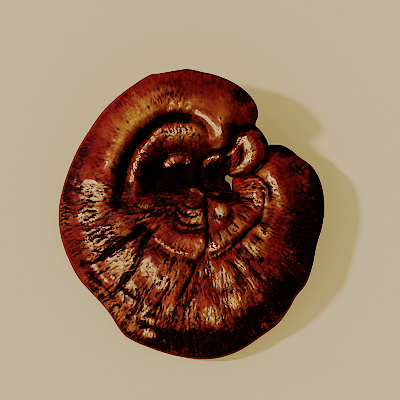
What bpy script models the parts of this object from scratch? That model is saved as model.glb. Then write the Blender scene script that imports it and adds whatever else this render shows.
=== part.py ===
"""Reishi mushroom: a lobed bracket cap, a second small cap growing in its notch, and a short cut stem.

Sizes are in millimetres here and in metres in the scene. The cap is seen from above with +Y as its
upper lobe. The stem is cut off flat at z = 0 and the low side of the margin rests on the same plane.
"""
import bmesh
import bpy
import numpy as np

MM = 0.001
# Middle of the object seen from above, which becomes the origin
MIDDLE = (0.17, -0.05)

# Outlines seen from above, counterclockwise
CAP_OUTLINE = [
    (64.2, 3), (63.4, 12), (60.8, 19.4), (57, 24.4), (51.6, 28.2), (48.3, 31), (43.5, 33.5), (38.5, 33.8),
    (36, 34), (34.6, 38), (31.8, 41.8), (31, 44), (32.2, 48), (30.8, 53.5), (26.5, 58.8), (20, 63.5),
    (11.5, 67), (4.5, 68.6), (-1.5, 69.8), (-8, 69), (-15, 67.8), (-20, 67), (-28, 62), (-36, 56),
    (-43, 49), (-49, 40.5), (-54, 32.5), (-58, 24), (-61.5, 14), (-63.6, 4), (-63.6, -6), (-61.6, -15),
    (-58, -24), (-53.5, -31.8), (-46, -40), (-39.5, -47.5), (-34, -56), (-29, -60.3), (-19, -64.6),
    (-8, -68), (4, -69.8), (14, -69), (24, -65.3), (34, -58.6), (42, -52.5), (47.5, -45), (50.5, -39.5),
    (55.5, -33), (58.6, -24), (60.5, -14.5), (63, -6),
]
NOTCH_OUTLINE = [
    (34.5, 42.4), (31, 43.2), (27.2, 43.5), (23, 42.2), (20.2, 38.9), (18.6, 34.8), (15, 31.6), (9.5, 30.2),
    (5.6, 27.2), (3.6, 22.5), (3.6, 17), (5.5, 12.8), (10.5, 11.4), (16, 11), (20.2, 10.8), (20.6, 14.5),
    (22.4, 17.6), (27, 18.9), (31, 21.6), (34.6, 26.2), (36.9, 31), (37.4, 34.4), (40, 38), (39, 41.5),
]
SMALL_CAP_OUTLINE = [
    (36.9, 34), (35.2, 37.6), (32.8, 41), (30.4, 42.6), (27.2, 43.05), (23.3, 41.8), (20.6, 38.6), (18.95, 34.5),
    (15.1, 31.25),
    (9.7, 29.8), (6.0, 27), (4.05, 22.5), (4.05, 17.2), (5.8, 13.2), (10.6, 11.85), (15.4, 12), (18.4, 12.7),
    (18.4, 15), (17, 16.6), (16.4, 18.2), (17.8, 19.4), (21.2, 18.7), (26.7, 19.3), (30.6, 21.95), (34.2, 26.5),
    (36.4, 31),
]
CAP_CENTRE = (-1.0, 6.0)
SMALL_CAP_CENTRE = (19.5, 27.5)
SMALL_CAP_REACH = 25.0

# Margin: azimuth in degrees around the cap's centre, height of the margin's mid line
MARGIN_HEIGHTS = [
    (0, 9.8), (10, 10.4), (20, 11.6), (32, 14.0), (45, 17.0), (58, 20.6), (72, 21.6), (90, 20.4), (108, 18.2),
    (125, 15.6), (140, 13.4), (158, 10.6), (175, 8.4), (192, 6.4), (207, 4.4), (222, 2.45), (238, 4.2),
    (252, 3.6), (270, 2.45), (288, 3.4), (303, 4.8), (317, 7.6), (332, 9.2), (346, 9.6),
]
# Azimuth in degrees, rise of the top per millimetre in from the margin
MARGIN_SLOPES = [
    (0, 0.66), (20, 0.62), (45, 0.56), (70, 0.46), (100, 0.40), (150, 0.44), (190, 0.50), (225, 0.54),
    (250, 0.62), (280, 0.82), (315, 0.88), (340, 0.76),
]
INNER_SLOPE = 0.55
SLOPE_REACH = 22.0
PLANE_HEIGHT = 11.5
PLANE_TILT_X = 0.03
PLANE_TILT_Y = 0.124
MARGIN_REACH = 60.0
ROLL_HEIGHT = 3.2
ROLL_WIDTH = 4.2
UNDER_ROLL_HEIGHT = 2.5
UNDER_ROLL_WIDTH = 3.2
UNDER_ARCH = 3.0
UNDER_ARCH_TILT = 2.0
UNDER_ARCH_REACH = 34.0
LEAST_THICKNESS = 3.6
NOTCH_ROLL_WIDTH = 3.0
NOTCH_EDGE_HALF = 1.1

# Relief of the cap's top. Each line is a path, the height, the widths to the left and right of the
# path, and the shares of its length over which it fades in and out.
CAP_RELIEF = {
    "outer ring crest": (
        [(-42, 0), (-40, 12), (-37.5, 26), (-33, 36), (-26, 44.5), (-18, 50), (-9, 52.5), (1, 52), (9.5, 49),
         (15, 42), (16.6, 34)], 2.4, 9, 3.5, 0.25, 0.1),
    "outer ring valley": (
        [(-35, 2), (-34, 12), (-32.6, 22), (-29, 31), (-23, 38.6), (-16, 44), (-9, 46.6), (-2, 47.2),
         (4.5, 45.8), (9.5, 41.8), (12, 36.5), (12.3, 31)], -6.5, 4.4, 3.0, 0.3, 0.1),
    "inner ridge": (
        [(-28.5, 9), (-28.6, 16), (-27.2, 22.5), (-24, 29.5), (-19.5, 35.6), (-13.5, 40), (-7, 42.6), (-1, 43),
         (4.4, 41), (7.6, 37.4), (8.4, 32)], 3.4, 2.4, 4.4, 0.3, 0.15),
    "inner ridge shoulder": ([(-14, 35), (-8, 37.4), (-1, 37.2), (4, 34)], 2.4, 4.5, 4.0, 0.3, 0.3),
    "tongue in the bowl": (
        [(-12.5, 19.5), (-12, 23.4), (-9, 26), (-5, 26.8), (-1.8, 25)], 4.2, 1.8, 5.2, 0.25, 0.25),
    "fold by the notch": (
        [(5.4, 14), (4.6, 20), (5.8, 25), (9, 28.4), (14, 29.8), (17, 31)], 1.6, 2.2, 1.6, 0.3, 0.2),
    "right lobe ledge": (
        [(25, 15.4), (29, 17.2), (32.2, 16.6), (35.2, 13.5), (36.4, 9), (35.6, 4)], 1.5, 1.5, 1.5, 0.2, 0.2),
    "right lobe valley": (
        [(27, 20.6), (33.4, 19.8), (37.2, 15), (38.8, 10), (38.8, 4), (38, -1)], -1.8, 1.8, 1.8, 0.2, 0.3),
    "right lobe crest": (
        [(31.5, 26.6), (37.6, 23.4), (43, 17.6), (45, 9), (45, 0), (44, -8)], 2.6, 3.6, 7, 0.15, 0.35),
    "terrace crest, right": (
        [(32.5, 8), (30.6, 2), (27.6, -2.4), (24.6, -6.2), (20.6, -10.4), (16, -14), (11.5, -16), (8.2, -15.6)],
        1.5, 2.4, 1.6, 0.2, 0.1),
    "terrace edge, right": (
        [(35, 6), (33.6, 0), (30.2, -4.4), (26.8, -7.8), (24, -10.8), (20.6, -14), (16.8, -17), (12, -19.2),
         (8, -19.8)], -2.2, 1.6, 1.7, 0.2, 0.1),
    "terrace crest, left": (
        [(4.5, -18.6), (1, -19), (-4, -18), (-9, -16.5), (-13, -14), (-16.5, -10.4), (-18, -7)],
        1.8, 2.4, 1.5, 0.1, 0.2),
    "terrace edge, left": (
        [(4, -23.5), (-1, -23), (-8, -21.6), (-13.5, -18.6), (-17.6, -13.5), (-20.5, -9)],
        -2.0, 2.4, 3.4, 0.1, 0.3),
    "terrace groove": ([(-9, -4), (-5.5, -7.2), (0, -8), (5, -7.4), (8, -6.6)], -1.1, 1.2, 1.4, 0.2, 0.1),
    "step, lower": (
        [(-7.5, 3.5), (-6.2, -1.6), (-2.5, -4.6), (2, -5), (6.4, -4)], -1.0, 1.0, 1.0, 0.2, 0.1),
    "step, middle": ([(-6.5, 6), (-5.5, 2), (-2, -0.6), (2, -0.6), (6, 1)], -0.9, 0.9, 0.9, 0.2, 0.1),
    "step, upper": ([(-4, 7.6), (-2.6, 4.6), (0.4, 3.2), (4, 3.6), (6, 5)], -0.8, 0.8, 0.8, 0.2, 0.1),
    "lip at the growth centre": ([(-2, 12.6), (1.5, 12.2), (4.5, 11), (6.2, 8.4)], 1.0, 1.0, 1.4, 0.2, 0.2),
    "long crack": (
        [(7.2, 14), (6.4, 8), (7, 3), (7.6, -3), (8, -10), (7.4, -15), (5.4, -19), (3, -23), (1, -28), (-2, -33),
         (-5, -38)], -2.4, 1.0, 1.1, 0.1, 0.5),
    "bump": ([(13.2, 4.5), (14.2, 1), (14, -2.6)], 2.6, 3.2, 3.4, 0.0, 0.0),
    "groove round the bump": (
        [(9, -7), (14, -7.2), (18, -5.4), (20.4, -1), (20.4, 4)], -1.2, 1.3, 1.3, 0.2, 0.2),
    "crease, left": (
        [(-15, -2.4), (-19, -4.6), (-25, -7.6), (-30.5, -11.2), (-38, -16.8), (-44, -21.8), (-50.5, -26.4)],
        -2.4, 1.8, 2.2, 0.25, 0.25),
    "crease, lower left": (
        [(-15, -6), (-20.5, -10.8), (-25, -18), (-28, -25), (-33, -31), (-38, -37)], -1.1, 1.3, 1.5, 0.2, 0.25),
    "crease, bottom": ([(-6, -30), (-10, -38), (-16.5, -46), (-20, -53)], -0.8, 1.5, 1.8, 0.3, 0.3),
    "crease, lower right": ([(19, -12), (26, -21), (34, -31), (42, -42)], -0.9, 1.6, 1.8, 0.2, 0.3),
    "groove inside the margin": (
        [(-56, -18), (-50, -26.5), (-44.6, -32), (-38.6, -38), (-34.4, -44), (-29.4, -49.5), (-22, -53.6),
         (-12, -57), (0, -59.4), (10, -60)], -1.6, 1.6, 2.2, 0.25, 0.35),
    "swell, left": (
        [(-49, 22), (-51.4, 8), (-50.6, -6), (-46, -18), (-38, -30)], 0.9, 4, 5, 0.3, 0.3),
    "growth step, lower": (
        [(-33, -22), (-24, -33), (-12, -39), (0, -39), (12, -38), (24, -33), (34, -24)], -1.1, 2.6, 3.4, 0.2, 0.2),
    "swell, lower": (
        [(-20, -46), (-8, -50), (6, -51), (20, -48.5), (32, -42), (43, -30), (48, -18)], 1.3, 4, 3.5, 0.25, 0.25),
    "roll at the lobe's end": ([(27, 53), (28, 48), (25, 44.6)], 1.3, 2.6, 2.6, 0.2, 0.2),
}
# Hollows of the cap's top: closed outline, depth, width of the sloping wall
CAP_HOLLOWS = {
    "ring hollow": (
        [(-38, 1), (-38, 12), (-36.4, 20), (-33.6, 29), (-29, 37), (-22.4, 43.6), (-14, 47.8), (-5, 49.4),
         (3, 48.8), (9.8, 45.2), (13.6, 39.4), (14.8, 33), (13, 28), (13, 18), (9, 12), (2, 10.5), (-8, 8),
         (-18, 5), (-28, 1)], 4.0, 7.0),
    "bowl": (
        [(-27, 8), (-26.6, 16), (-24, 23), (-20.4, 29), (-15, 33.2), (-8, 34.6), (-1, 34.2), (4, 31.6), (6, 27),
         (5.4, 20), (4.4, 13), (-4, 9.4), (-14, 7), (-22, 5)], 8.0, 7.0),
}
SMALL_CAP_RELIEF = {
    "crest": (
        [(24.4, 39.6), (28.6, 38), (31.4, 34), (31.6, 29.4), (29.4, 25), (25.4, 21.8)], 2.6, 3.0, 2.6, 0.25, 0.2),
    "inner valley": (
        [(22.8, 33.4), (25.2, 31), (25.6, 27.4), (24, 24), (21.4, 21.4)], -2.4, 1.6, 1.6, 0.25, 0.2),
    "inner ridge": ([(21.4, 33.4), (23.4, 30.4), (23.4, 26.6), (21.2, 22.6)], 1.2, 1.1, 1.0, 0.2, 0.2),
    "ridge at the base": (
        [(6.2, 16), (5.8, 20.6), (7.4, 25), (10.6, 27.8), (15, 28.6), (19, 30.6)], 1.8, 1.6, 1.8, 0.2, 0.2),
}
SMALL_CAP_HOLLOWS = {
    "hollow at the base": (
        [(7.6, 17), (7.2, 21.6), (9.6, 25.6), (14, 27), (17.6, 28.6), (19.8, 26), (19, 22), (15.6, 18.6),
         (14, 15.6), (11, 14.6)], 3.2, 3.6),
}
SMALL_BASE_HEIGHT = 12.4
SMALL_CLIMB = 4.0
SMALL_CLIMB_FROM = (8.0, 14.0)
SMALL_CLIMB_LENGTH = 40.0
SMALL_ROLL_HEIGHT = 1.8
SMALL_ROLL_WIDTH = 2.6
SMALL_RISE = 4.2
SMALL_RISE_REACH = 6.0
SMALL_UNDER_DEPTH = 1.2
SMALL_EDGE_HALF = 0.8

# Stem: foot outline as a centre and two radii, and its sides as (height share, radius share)
STEM_CENTRE = (2.6, 19.5)
STEM_RADII = (11.0, 12.6)
STEM_BUMPS = ((2, 0.05, 0.6), (3, 0.035, 2.1), (5, 0.02, 4.0))
STEM_PROFILE = [
    (0, 0.0), (0, 0.35), (0, 0.7), (0, 0.93), (0.02, 0.99), (0.1, 1.0), (0.35, 0.95), (0.6, 0.96), (0.8, 1.02),
    (0.94, 1.08), (1, 1.04), (1, 0.8), (1, 0.5), (1, 0.22), (1, 0.0),
]
STEM_SIDES = 36
GAP = 0.3
COLLAR_HEIGHT = 9.8
COLLAR_SPREAD = 1.2
COLLAR_WIDTH = 6.0

CAP_SEGMENTS = 192
CAP_RINGS = 136
CAP_KEEP = 0.153
SMALL_CAP_SEGMENTS = 96
SMALL_CAP_RINGS = 64
SMALL_CAP_KEEP = 0.1


def smooth_loop(points, steps):
    """Closed curve through the points, with the given number of steps between each two."""
    corners = np.array(points, float)
    t = np.linspace(0, 1, steps, endpoint=False)[:, None]
    spans = []
    for i in range(len(corners)):
        a, b = corners[i - 1], corners[i]
        c, d = corners[(i + 1) % len(corners)], corners[(i + 2) % len(corners)]
        spans.append(curve_span(a, b, c, d, t))
    return np.concatenate(spans)


def smooth_path(points, steps):
    """Open curve through the points."""
    corners = np.array(points, float)
    corners = np.vstack([2 * corners[0] - corners[1], corners, 2 * corners[-1] - corners[-2]])
    t = np.linspace(0, 1, steps, endpoint=False)[:, None]
    spans = [curve_span(*corners[i - 1:i + 3], t) for i in range(1, len(corners) - 2)]
    return np.concatenate(spans + [corners[-2:-1]])


def curve_span(a, b, c, d, t):
    """One span of a curve from b to c that also heeds the points before and after."""
    return 0.5 * (2 * b + (c - a) * t + (2 * a - 5 * b + 4 * c - d) * t**2 + (3 * b - a - 3 * c + d) * t**3)


def measure(points, path, closed):
    """Distance to the path, the side of it (+1 is left of travel) and the share of its length."""
    count = len(path) if closed else len(path) - 1
    ends = np.roll(path, -1, axis=0)
    lengths = np.linalg.norm(ends - path, axis=1)[:count]
    before = np.concatenate([[0], np.cumsum(lengths)])
    nearest = np.full(len(points), 1e9)
    side = np.zeros(len(points))
    share = np.zeros(len(points))
    for i in range(count):
        start = path[i]
        span = ends[i] - start
        t = np.clip((points - start) @ span / max(lengths[i]**2, 1e-12), 0, 1)
        across = points - start - t[:, None] * span
        distance = (across**2).sum(axis=1)
        closer = distance < nearest
        nearest[closer] = distance[closer]
        side[closer] = (span[0] * across[:, 1] - span[1] * across[:, 0])[closer]
        share[closer] = (before[i] + t * lengths[i])[closer] / before[-1]
    return np.sqrt(nearest), np.sign(side), share


def is_inside(points, loop):
    """True for each point inside the closed loop."""
    x, y = points[:, 0], points[:, 1]
    result = np.zeros(len(points), bool)
    for (x1, y1), (x2, y2) in zip(loop, np.roll(loop, -1, axis=0)):
        if y1 != y2:
            crosses = ((y1 > y) != (y2 > y)) & (x < (x2 - x1) * (y - y1) / (y2 - y1) + x1)
            result ^= crosses
    return result


def depth_inside(points, loop):
    """Distance in from the loop, zero outside it."""
    distance, _, _ = measure(points, loop, True)
    return np.where(is_inside(points, loop), distance, 0)


def ease(t):
    """Smooth step from 0 to 1."""
    t = np.clip(t, 0, 1)
    return t * t * (3 - 2 * t)


def fade(share, fade_in, fade_out):
    """Fades the start and the end of a path."""
    result = np.ones(len(share))
    if fade_in > 0:
        result = result * ease(share / fade_in)
    if fade_out > 0:
        result = result * ease((1 - share) / fade_out)
    return result


def around(table, azimuth):
    """Smooth value from a table that runs once round the cap."""
    angle = np.array([row[0] for row in table], float)
    value = np.array([row[1] for row in table], float)
    angle = np.concatenate([angle - 360, angle, angle + 360])
    value = np.tile(value, 3)
    slope = np.gradient(value, angle)
    turned = np.mod(azimuth, 360)
    i = np.searchsorted(angle, turned, side="right") - 1
    width = angle[i + 1] - angle[i]
    t = (turned - angle[i]) / width
    return ((2 * t**3 - 3 * t**2 + 1) * value[i] + (t**3 - 2 * t**2 + t) * width * slope[i]
            + (3 * t**2 - 2 * t**3) * value[i + 1] + (t**3 - t**2) * width * slope[i + 1])


def quarter_round(distance, width):
    """Rounded edge: 0 at the edge and 1 from the width inwards."""
    return np.sqrt(1 - (1 - np.clip(distance / width, 0, 1))**2)


def relief(points, lines, hollows):
    """Sum of the ridges, grooves and hollows."""
    height = np.zeros(len(points))
    for path, rise, left, right, fade_in, fade_out in lines.values():
        distance, side, share = measure(points, smooth_path(path, 5), False)
        width = np.where(side > 0, left, right)
        height += rise * np.exp(-(distance / width)**2) * fade(share, fade_in, fade_out)
    for outline, depth, wall in hollows.values():
        height -= depth * ease(depth_inside(points, smooth_loop(outline, 4)) / wall)
    return height


def cap_margin(points):
    """Distance in from the margin, the margin plane's height and the slope of the top."""
    x, y = points[:, 0], points[:, 1]
    distance = depth_inside(points, CAP_LOOP)
    azimuth = np.degrees(np.arctan2(y - CAP_CENTRE[1], x - CAP_CENTRE[0]))
    outer = 1 - ease(distance / MARGIN_REACH)
    plane = PLANE_HEIGHT + PLANE_TILT_X * x + PLANE_TILT_Y * y
    middle = around(MARGIN_HEIGHTS, azimuth) * outer**2 + plane * (1 - outer**2)
    slope = around(MARGIN_SLOPES, azimuth) * outer + INNER_SLOPE * (1 - outer)
    return distance, middle, slope


def notch_edge_height(points):
    """Height of the rolled edge along the notch."""
    x, y = points[:, 0], points[:, 1]
    return 13 + 6 * ease((y - 26) / 16) - 2 * ease((20 - y) / 8) * ease((24 - x) / 6)


def cap_top(points):
    """Height of the cap's top."""
    distance, middle, slope = cap_margin(points)
    height = middle + ROLL_HEIGHT * quarter_round(distance, ROLL_WIDTH)
    height += slope * SLOPE_REACH * (1 - np.exp(-1.15 * distance / SLOPE_REACH))
    height += relief(points, CAP_RELIEF, CAP_HOLLOWS)
    from_notch = np.where(is_inside(points, NOTCH_LOOP), 0, measure(points, NOTCH_LOOP, True)[0])
    low = notch_edge_height(points) + NOTCH_EDGE_HALF
    rolled = low + (height - low) * (1 - np.exp(-from_notch / NOTCH_ROLL_WIDTH))
    return np.where(height > low, rolled, height)


def join_stem(points, under):
    """Brings an underside down to the flat collar that sits on the stem."""
    across = (points - np.array(STEM_CENTRE)) / np.array(STEM_RADII)
    outside = (np.hypot(across[:, 0], across[:, 1]) - COLLAR_SPREAD) * np.mean(STEM_RADII)
    collar = np.exp(-(np.maximum(outside, 0) / COLLAR_WIDTH)**2)
    return under * (1 - collar) + COLLAR_HEIGHT * collar


def cap_under(points, top):
    """Height of the cap's underside, a shallow arch that keeps clear of the top."""
    distance, middle, _ = cap_margin(points)
    height = middle - UNDER_ROLL_HEIGHT * quarter_round(distance, UNDER_ROLL_WIDTH)
    arch = UNDER_ARCH - UNDER_ARCH_TILT * np.clip(points[:, 1] / 40, -1, 1)
    height += arch * ease(distance / UNDER_ARCH_REACH)
    from_notch = np.where(is_inside(points, NOTCH_LOOP), 0, measure(points, NOTCH_LOOP, True)[0])
    near_edge = np.exp(-from_notch / NOTCH_ROLL_WIDTH)
    edge = np.minimum(distance / ROLL_WIDTH, 1)
    thick = LEAST_THICKNESS * edge * (1 - near_edge) + 2 * NOTCH_EDGE_HALF * near_edge * edge
    height = np.minimum(join_stem(points, height), top - thick)
    return np.maximum(height, 0)


def small_cap_surfaces(points):
    """Heights of the small cap's top and underside."""
    distance = depth_inside(points, SMALL_CAP_LOOP)
    run = (points - np.array(SMALL_CLIMB_FROM)).sum(axis=1)
    middle = SMALL_BASE_HEIGHT + SMALL_CLIMB * ease(run / SMALL_CLIMB_LENGTH)
    rounded = SMALL_ROLL_HEIGHT * quarter_round(distance, SMALL_ROLL_WIDTH)
    top = middle + SMALL_EDGE_HALF + rounded
    top += SMALL_RISE * (1 - np.exp(-distance / SMALL_RISE_REACH))
    top += relief(points, SMALL_CAP_RELIEF, SMALL_CAP_HOLLOWS) * np.minimum(distance / SMALL_ROLL_WIDTH, 1)
    under = middle - SMALL_EDGE_HALF - rounded - SMALL_UNDER_DEPTH * ease(distance / SMALL_RISE_REACH)
    return top, join_stem(points, under)


def pressed_sphere(name, segments, rings, place):
    """Sphere primitive whose points are put where the place function says."""
    mesh = bpy.data.meshes.new(name)
    shape = bmesh.new()
    bmesh.ops.create_uvsphere(shape, u_segments=segments, v_segments=rings, radius=1)
    shape.to_mesh(mesh)
    shape.free()
    unit = np.empty(len(mesh.vertices) * 3)
    mesh.vertices.foreach_get("co", unit)
    unit = unit.reshape(-1, 3)
    azimuth = np.degrees(np.arctan2(unit[:, 1], unit[:, 0]))
    ring = np.rint(np.degrees(np.arccos(np.clip(unit[:, 2], -1, 1))) / 180 * rings).astype(int)
    azimuth[(ring == 0) | (ring == rings)] = 0
    placed = place(azimuth, ring) - np.array([*MIDDLE, 0])
    mesh.vertices.foreach_set("co", (placed * MM).ravel())
    mesh.update()
    piece = bpy.data.objects.new(name, mesh)
    for polygon in mesh.polygons:
        polygon.use_smooth = True
    return piece


def margin_radius(azimuth, loop, centre):
    """Distance from the centre to the loop along each azimuth."""
    offset = loop - np.array(centre)
    angle = np.degrees(np.arctan2(offset[:, 1], offset[:, 0])) % 360
    order = np.argsort(angle)
    return np.interp(azimuth % 360, angle[order], np.hypot(offset[:, 0], offset[:, 1])[order], period=360)


def place_cap(azimuth, ring):
    """Rings from the centre of the top over the margin to the centre of the underside."""
    half = CAP_RINGS // 2
    share = np.where(ring <= half, ring, CAP_RINGS - ring) / half
    radius = margin_radius(azimuth, CAP_LOOP, CAP_CENTRE)
    angle = np.radians(azimuth)
    spread = 1 - (1 - share)**1.35
    reach = (radius * spread)[:, None]
    points = np.array(CAP_CENTRE) + reach * np.stack([np.cos(angle), np.sin(angle)], axis=1)
    top = cap_top(points)
    height = np.where(ring <= half, top, cap_under(points, top))
    return np.column_stack([points, height])


def place_small_cap(azimuth, ring):
    """Round slab with the small cap's surfaces, cut to its outline afterwards."""
    half = SMALL_CAP_RINGS // 2
    share = np.where(ring < half, ring, SMALL_CAP_RINGS - ring) / half
    angle = np.radians(azimuth)
    reach = (SMALL_CAP_REACH * share)[:, None]
    points = np.array(SMALL_CAP_CENTRE) + reach * np.stack([np.cos(angle), np.sin(angle)], axis=1)
    top, under = small_cap_surfaces(points)
    height = np.where(ring < half, top, np.where(ring == half, (top + under) / 2, under))
    return np.column_stack([points, height])


def place_stem(azimuth, ring):
    """Stem from the foot, cut off flat, up to the head under both caps."""
    profile = np.array(STEM_PROFILE[::-1])[ring]
    angle = np.radians(azimuth)
    wobble = np.ones(len(angle))
    for waves, size, turn in STEM_BUMPS:
        wobble += size * np.cos(waves * angle + turn) * np.minimum(profile[:, 1], 1)
    reach = (profile[:, 1] * wobble)[:, None]
    radii = np.array(STEM_RADII)
    points = np.array(STEM_CENTRE) + reach * radii * np.stack([np.cos(angle), np.sin(angle)], axis=1)
    return np.column_stack([points, (COLLAR_HEIGHT - GAP) * profile[:, 0]])


def prism(name, loop, low, high):
    """Upright cutter with the loop as its outline."""
    curve = bpy.data.curves.new(name + "_outline", "CURVE")
    curve.dimensions = "2D"
    curve.fill_mode = "BOTH"
    curve.extrude = (high - low) / 2 * MM
    spline = curve.splines.new("POLY")
    spline.points.add(len(loop) - 1)
    for point, (x, y) in zip(spline.points, loop):
        point.co = ((x - MIDDLE[0]) * MM, (y - MIDDLE[1]) * MM, 0, 1)
    spline.use_cyclic_u = True
    outline = bpy.data.objects.new(name + "_outline", curve)
    bpy.context.scene.collection.objects.link(outline)
    graph = bpy.context.evaluated_depsgraph_get()
    mesh = bpy.data.meshes.new_from_object(outline.evaluated_get(graph))
    bpy.data.objects.remove(outline)
    shape = bmesh.new()
    shape.from_mesh(mesh)
    bmesh.ops.remove_doubles(shape, verts=shape.verts, dist=1e-7)
    bmesh.ops.recalc_face_normals(shape, faces=shape.faces)
    shape.to_mesh(mesh)
    shape.free()
    cutter = bpy.data.objects.new(name, mesh)
    cutter.location.z = (high + low) / 2 * MM
    cutter.hide_render = True
    cutter.display_type = "WIRE"
    return cutter


def cut_and_thin(piece, cutter, operation, keep):
    """Boolean with the cutter, then fewer faces where the surface is calm."""
    triangles = piece.modifiers.new("triangles", "TRIANGULATE")
    triangles.quad_method = "SHORTEST_DIAGONAL"
    boolean = piece.modifiers.new("outline", "BOOLEAN")
    boolean.object = cutter
    boolean.operation = operation
    boolean.solver = "EXACT"
    thin = piece.modifiers.new("thin", "DECIMATE")
    thin.ratio = keep
    thin.use_collapse_triangulate = True


def lacquer(name, colour, roughness):
    """Plain material of one piece."""
    material = bpy.data.materials.new(name)
    material.use_nodes = True
    shader = material.node_tree.nodes["Principled BSDF"]
    shader.inputs["Base Color"].default_value = (*colour, 1)
    shader.inputs["Roughness"].default_value = roughness
    shader.inputs["Metallic"].default_value = 0
    return material


for old in list(bpy.data.objects):
    bpy.data.objects.remove(old)

CAP_LOOP = smooth_loop(CAP_OUTLINE, 4)
NOTCH_LOOP = smooth_loop(NOTCH_OUTLINE, 3)
SMALL_CAP_LOOP = smooth_loop(SMALL_CAP_OUTLINE, 3)

parts = bpy.data.collections.new("reishi_mushroom")
cutters = bpy.data.collections.new("cutters")
bpy.context.scene.collection.children.link(parts)
bpy.context.scene.collection.children.link(cutters)

notch_cutter = prism("notch_cutter", NOTCH_LOOP, -5, 60)
small_cap_cutter = prism("small_cap_cutter", SMALL_CAP_LOOP, -5, 60)
cutters.objects.link(notch_cutter)
cutters.objects.link(small_cap_cutter)

cap = pressed_sphere("cap", CAP_SEGMENTS, CAP_RINGS, place_cap)
cut_and_thin(cap, notch_cutter, "DIFFERENCE", CAP_KEEP)
cap.data.materials.append(lacquer("cap_lacquer", (0.20, 0.035, 0.012), 0.3))

small_cap = pressed_sphere("small_cap", SMALL_CAP_SEGMENTS, SMALL_CAP_RINGS, place_small_cap)
cut_and_thin(small_cap, small_cap_cutter, "INTERSECT", SMALL_CAP_KEEP)
small_cap.data.materials.append(lacquer("small_cap_lacquer", (0.16, 0.03, 0.012), 0.3))

stem = pressed_sphere("stem", STEM_SIDES, len(STEM_PROFILE) - 1, place_stem)
stem.data.materials.append(lacquer("stem_wood", (0.12, 0.035, 0.018), 0.45))

for piece in (cap, small_cap, stem):
    parts.objects.link(piece)
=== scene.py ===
import math

import bpy
import numpy as np
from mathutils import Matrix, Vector
from mathutils.geometry import delaunay_2d_cdt


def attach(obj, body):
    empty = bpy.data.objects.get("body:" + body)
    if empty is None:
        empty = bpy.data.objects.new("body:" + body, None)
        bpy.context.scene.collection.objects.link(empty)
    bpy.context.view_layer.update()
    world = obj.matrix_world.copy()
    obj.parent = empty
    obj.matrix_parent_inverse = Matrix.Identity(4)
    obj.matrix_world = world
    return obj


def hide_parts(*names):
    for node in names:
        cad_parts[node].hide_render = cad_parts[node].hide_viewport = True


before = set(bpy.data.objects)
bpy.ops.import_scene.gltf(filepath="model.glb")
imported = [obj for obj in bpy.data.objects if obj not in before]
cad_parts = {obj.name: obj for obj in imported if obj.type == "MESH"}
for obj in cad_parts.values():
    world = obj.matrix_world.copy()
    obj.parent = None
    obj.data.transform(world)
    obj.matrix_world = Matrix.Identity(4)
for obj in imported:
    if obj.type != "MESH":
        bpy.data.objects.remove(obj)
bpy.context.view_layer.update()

MM = 0.001
# Middle of the object seen from above, which is the origin
MIDDLE = (0.17, -0.05)

# Outlines seen from above in millimetres, counterclockwise
CAP_OUTLINE = [
    (64.2, 3), (63.4, 12), (60.8, 19.4), (57, 24.4), (51.6, 28.2), (48.3, 31), (43.5, 33.5), (38.5, 33.8),
    (36, 34), (34.6, 38), (31.8, 41.8), (31, 44), (32.2, 48), (30.8, 53.5), (26.5, 58.8), (20, 63.5),
    (11.5, 67), (4.5, 68.6), (-1.5, 69.8), (-8, 69), (-15, 67.8), (-20, 67), (-28, 62), (-36, 56),
    (-43, 49), (-49, 40.5), (-54, 32.5), (-58, 24), (-61.5, 14), (-63.6, 4), (-63.6, -6), (-61.6, -15),
    (-58, -24), (-53.5, -31.8), (-46, -40), (-39.5, -47.5), (-34, -56), (-29, -60.3), (-19, -64.6),
    (-8, -68), (4, -69.8), (14, -69), (24, -65.3), (34, -58.6), (42, -52.5), (47.5, -45), (50.5, -39.5),
    (55.5, -33), (58.6, -24), (60.5, -14.5), (63, -6),
]
NOTCH_OUTLINE = [
    (34.5, 42.4), (31, 43.2), (27.2, 43.5), (23, 42.2), (20.2, 38.9), (18.6, 34.8), (15, 31.6), (9.5, 30.2),
    (5.6, 27.2), (3.6, 22.5), (3.6, 17), (5.5, 12.8), (10.5, 11.4), (16, 11), (19.4, 10.8), (19.7, 12),
    (19.75, 15), (19.9, 17.4), (21.8, 18.7), (27, 18.9), (31, 21.6), (34.6, 26.2), (36.9, 31), (37.4, 34.4),
    (40, 38), (39, 41.5),
]
SMALL_CAP_OUTLINE = [
    (36.9, 34), (35.2, 37.6), (32.8, 41), (30.4, 42.6), (27.2, 43.05), (23.3, 41.8), (20.6, 38.6),
    (18.95, 34.5), (15.1, 31.25), (9.7, 29.8), (6, 27), (4.05, 22.5), (4.05, 17.2), (5.8, 13.2),
    (10.6, 11.8), (15.4, 11.4), (19.3, 11.2), (19.15, 12.8), (18.3, 15.2), (16.8, 16.3), (16.2, 17.8),
    (17.3, 19.2), (19.3, 18.2), (21.2, 18.9), (26.7, 19.3), (30.6, 21.95), (34.2, 26.5), (36.4, 31),
]
CAP_CENTRE = (-1, 6)
# The visual outline stays this far inside the solid's
INSET = 0.12
# Fine relief fades out towards the edge over this width
EDGE_FADE = 1.4
RIM_INSET = 0.55
RIM_WIDTH = 0.4
PIT_SPACING = 2.8

# Margin: azimuth in degrees around the cap's centre, height of the margin's mid line
MARGIN_HEIGHTS = [
    (0, 9.8), (10, 10.4), (20, 11.6), (32, 14), (45, 17), (58, 20.6), (72, 21.6), (90, 20.4), (108, 18.2),
    (125, 15.6), (140, 13.4), (158, 10.6), (175, 8.4), (192, 6.4), (207, 4.4), (222, 2.45), (238, 4.2),
    (252, 3.6), (270, 2.45), (288, 3.4), (303, 4.8), (317, 7.6), (332, 9.2), (346, 9.6),
]
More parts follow.
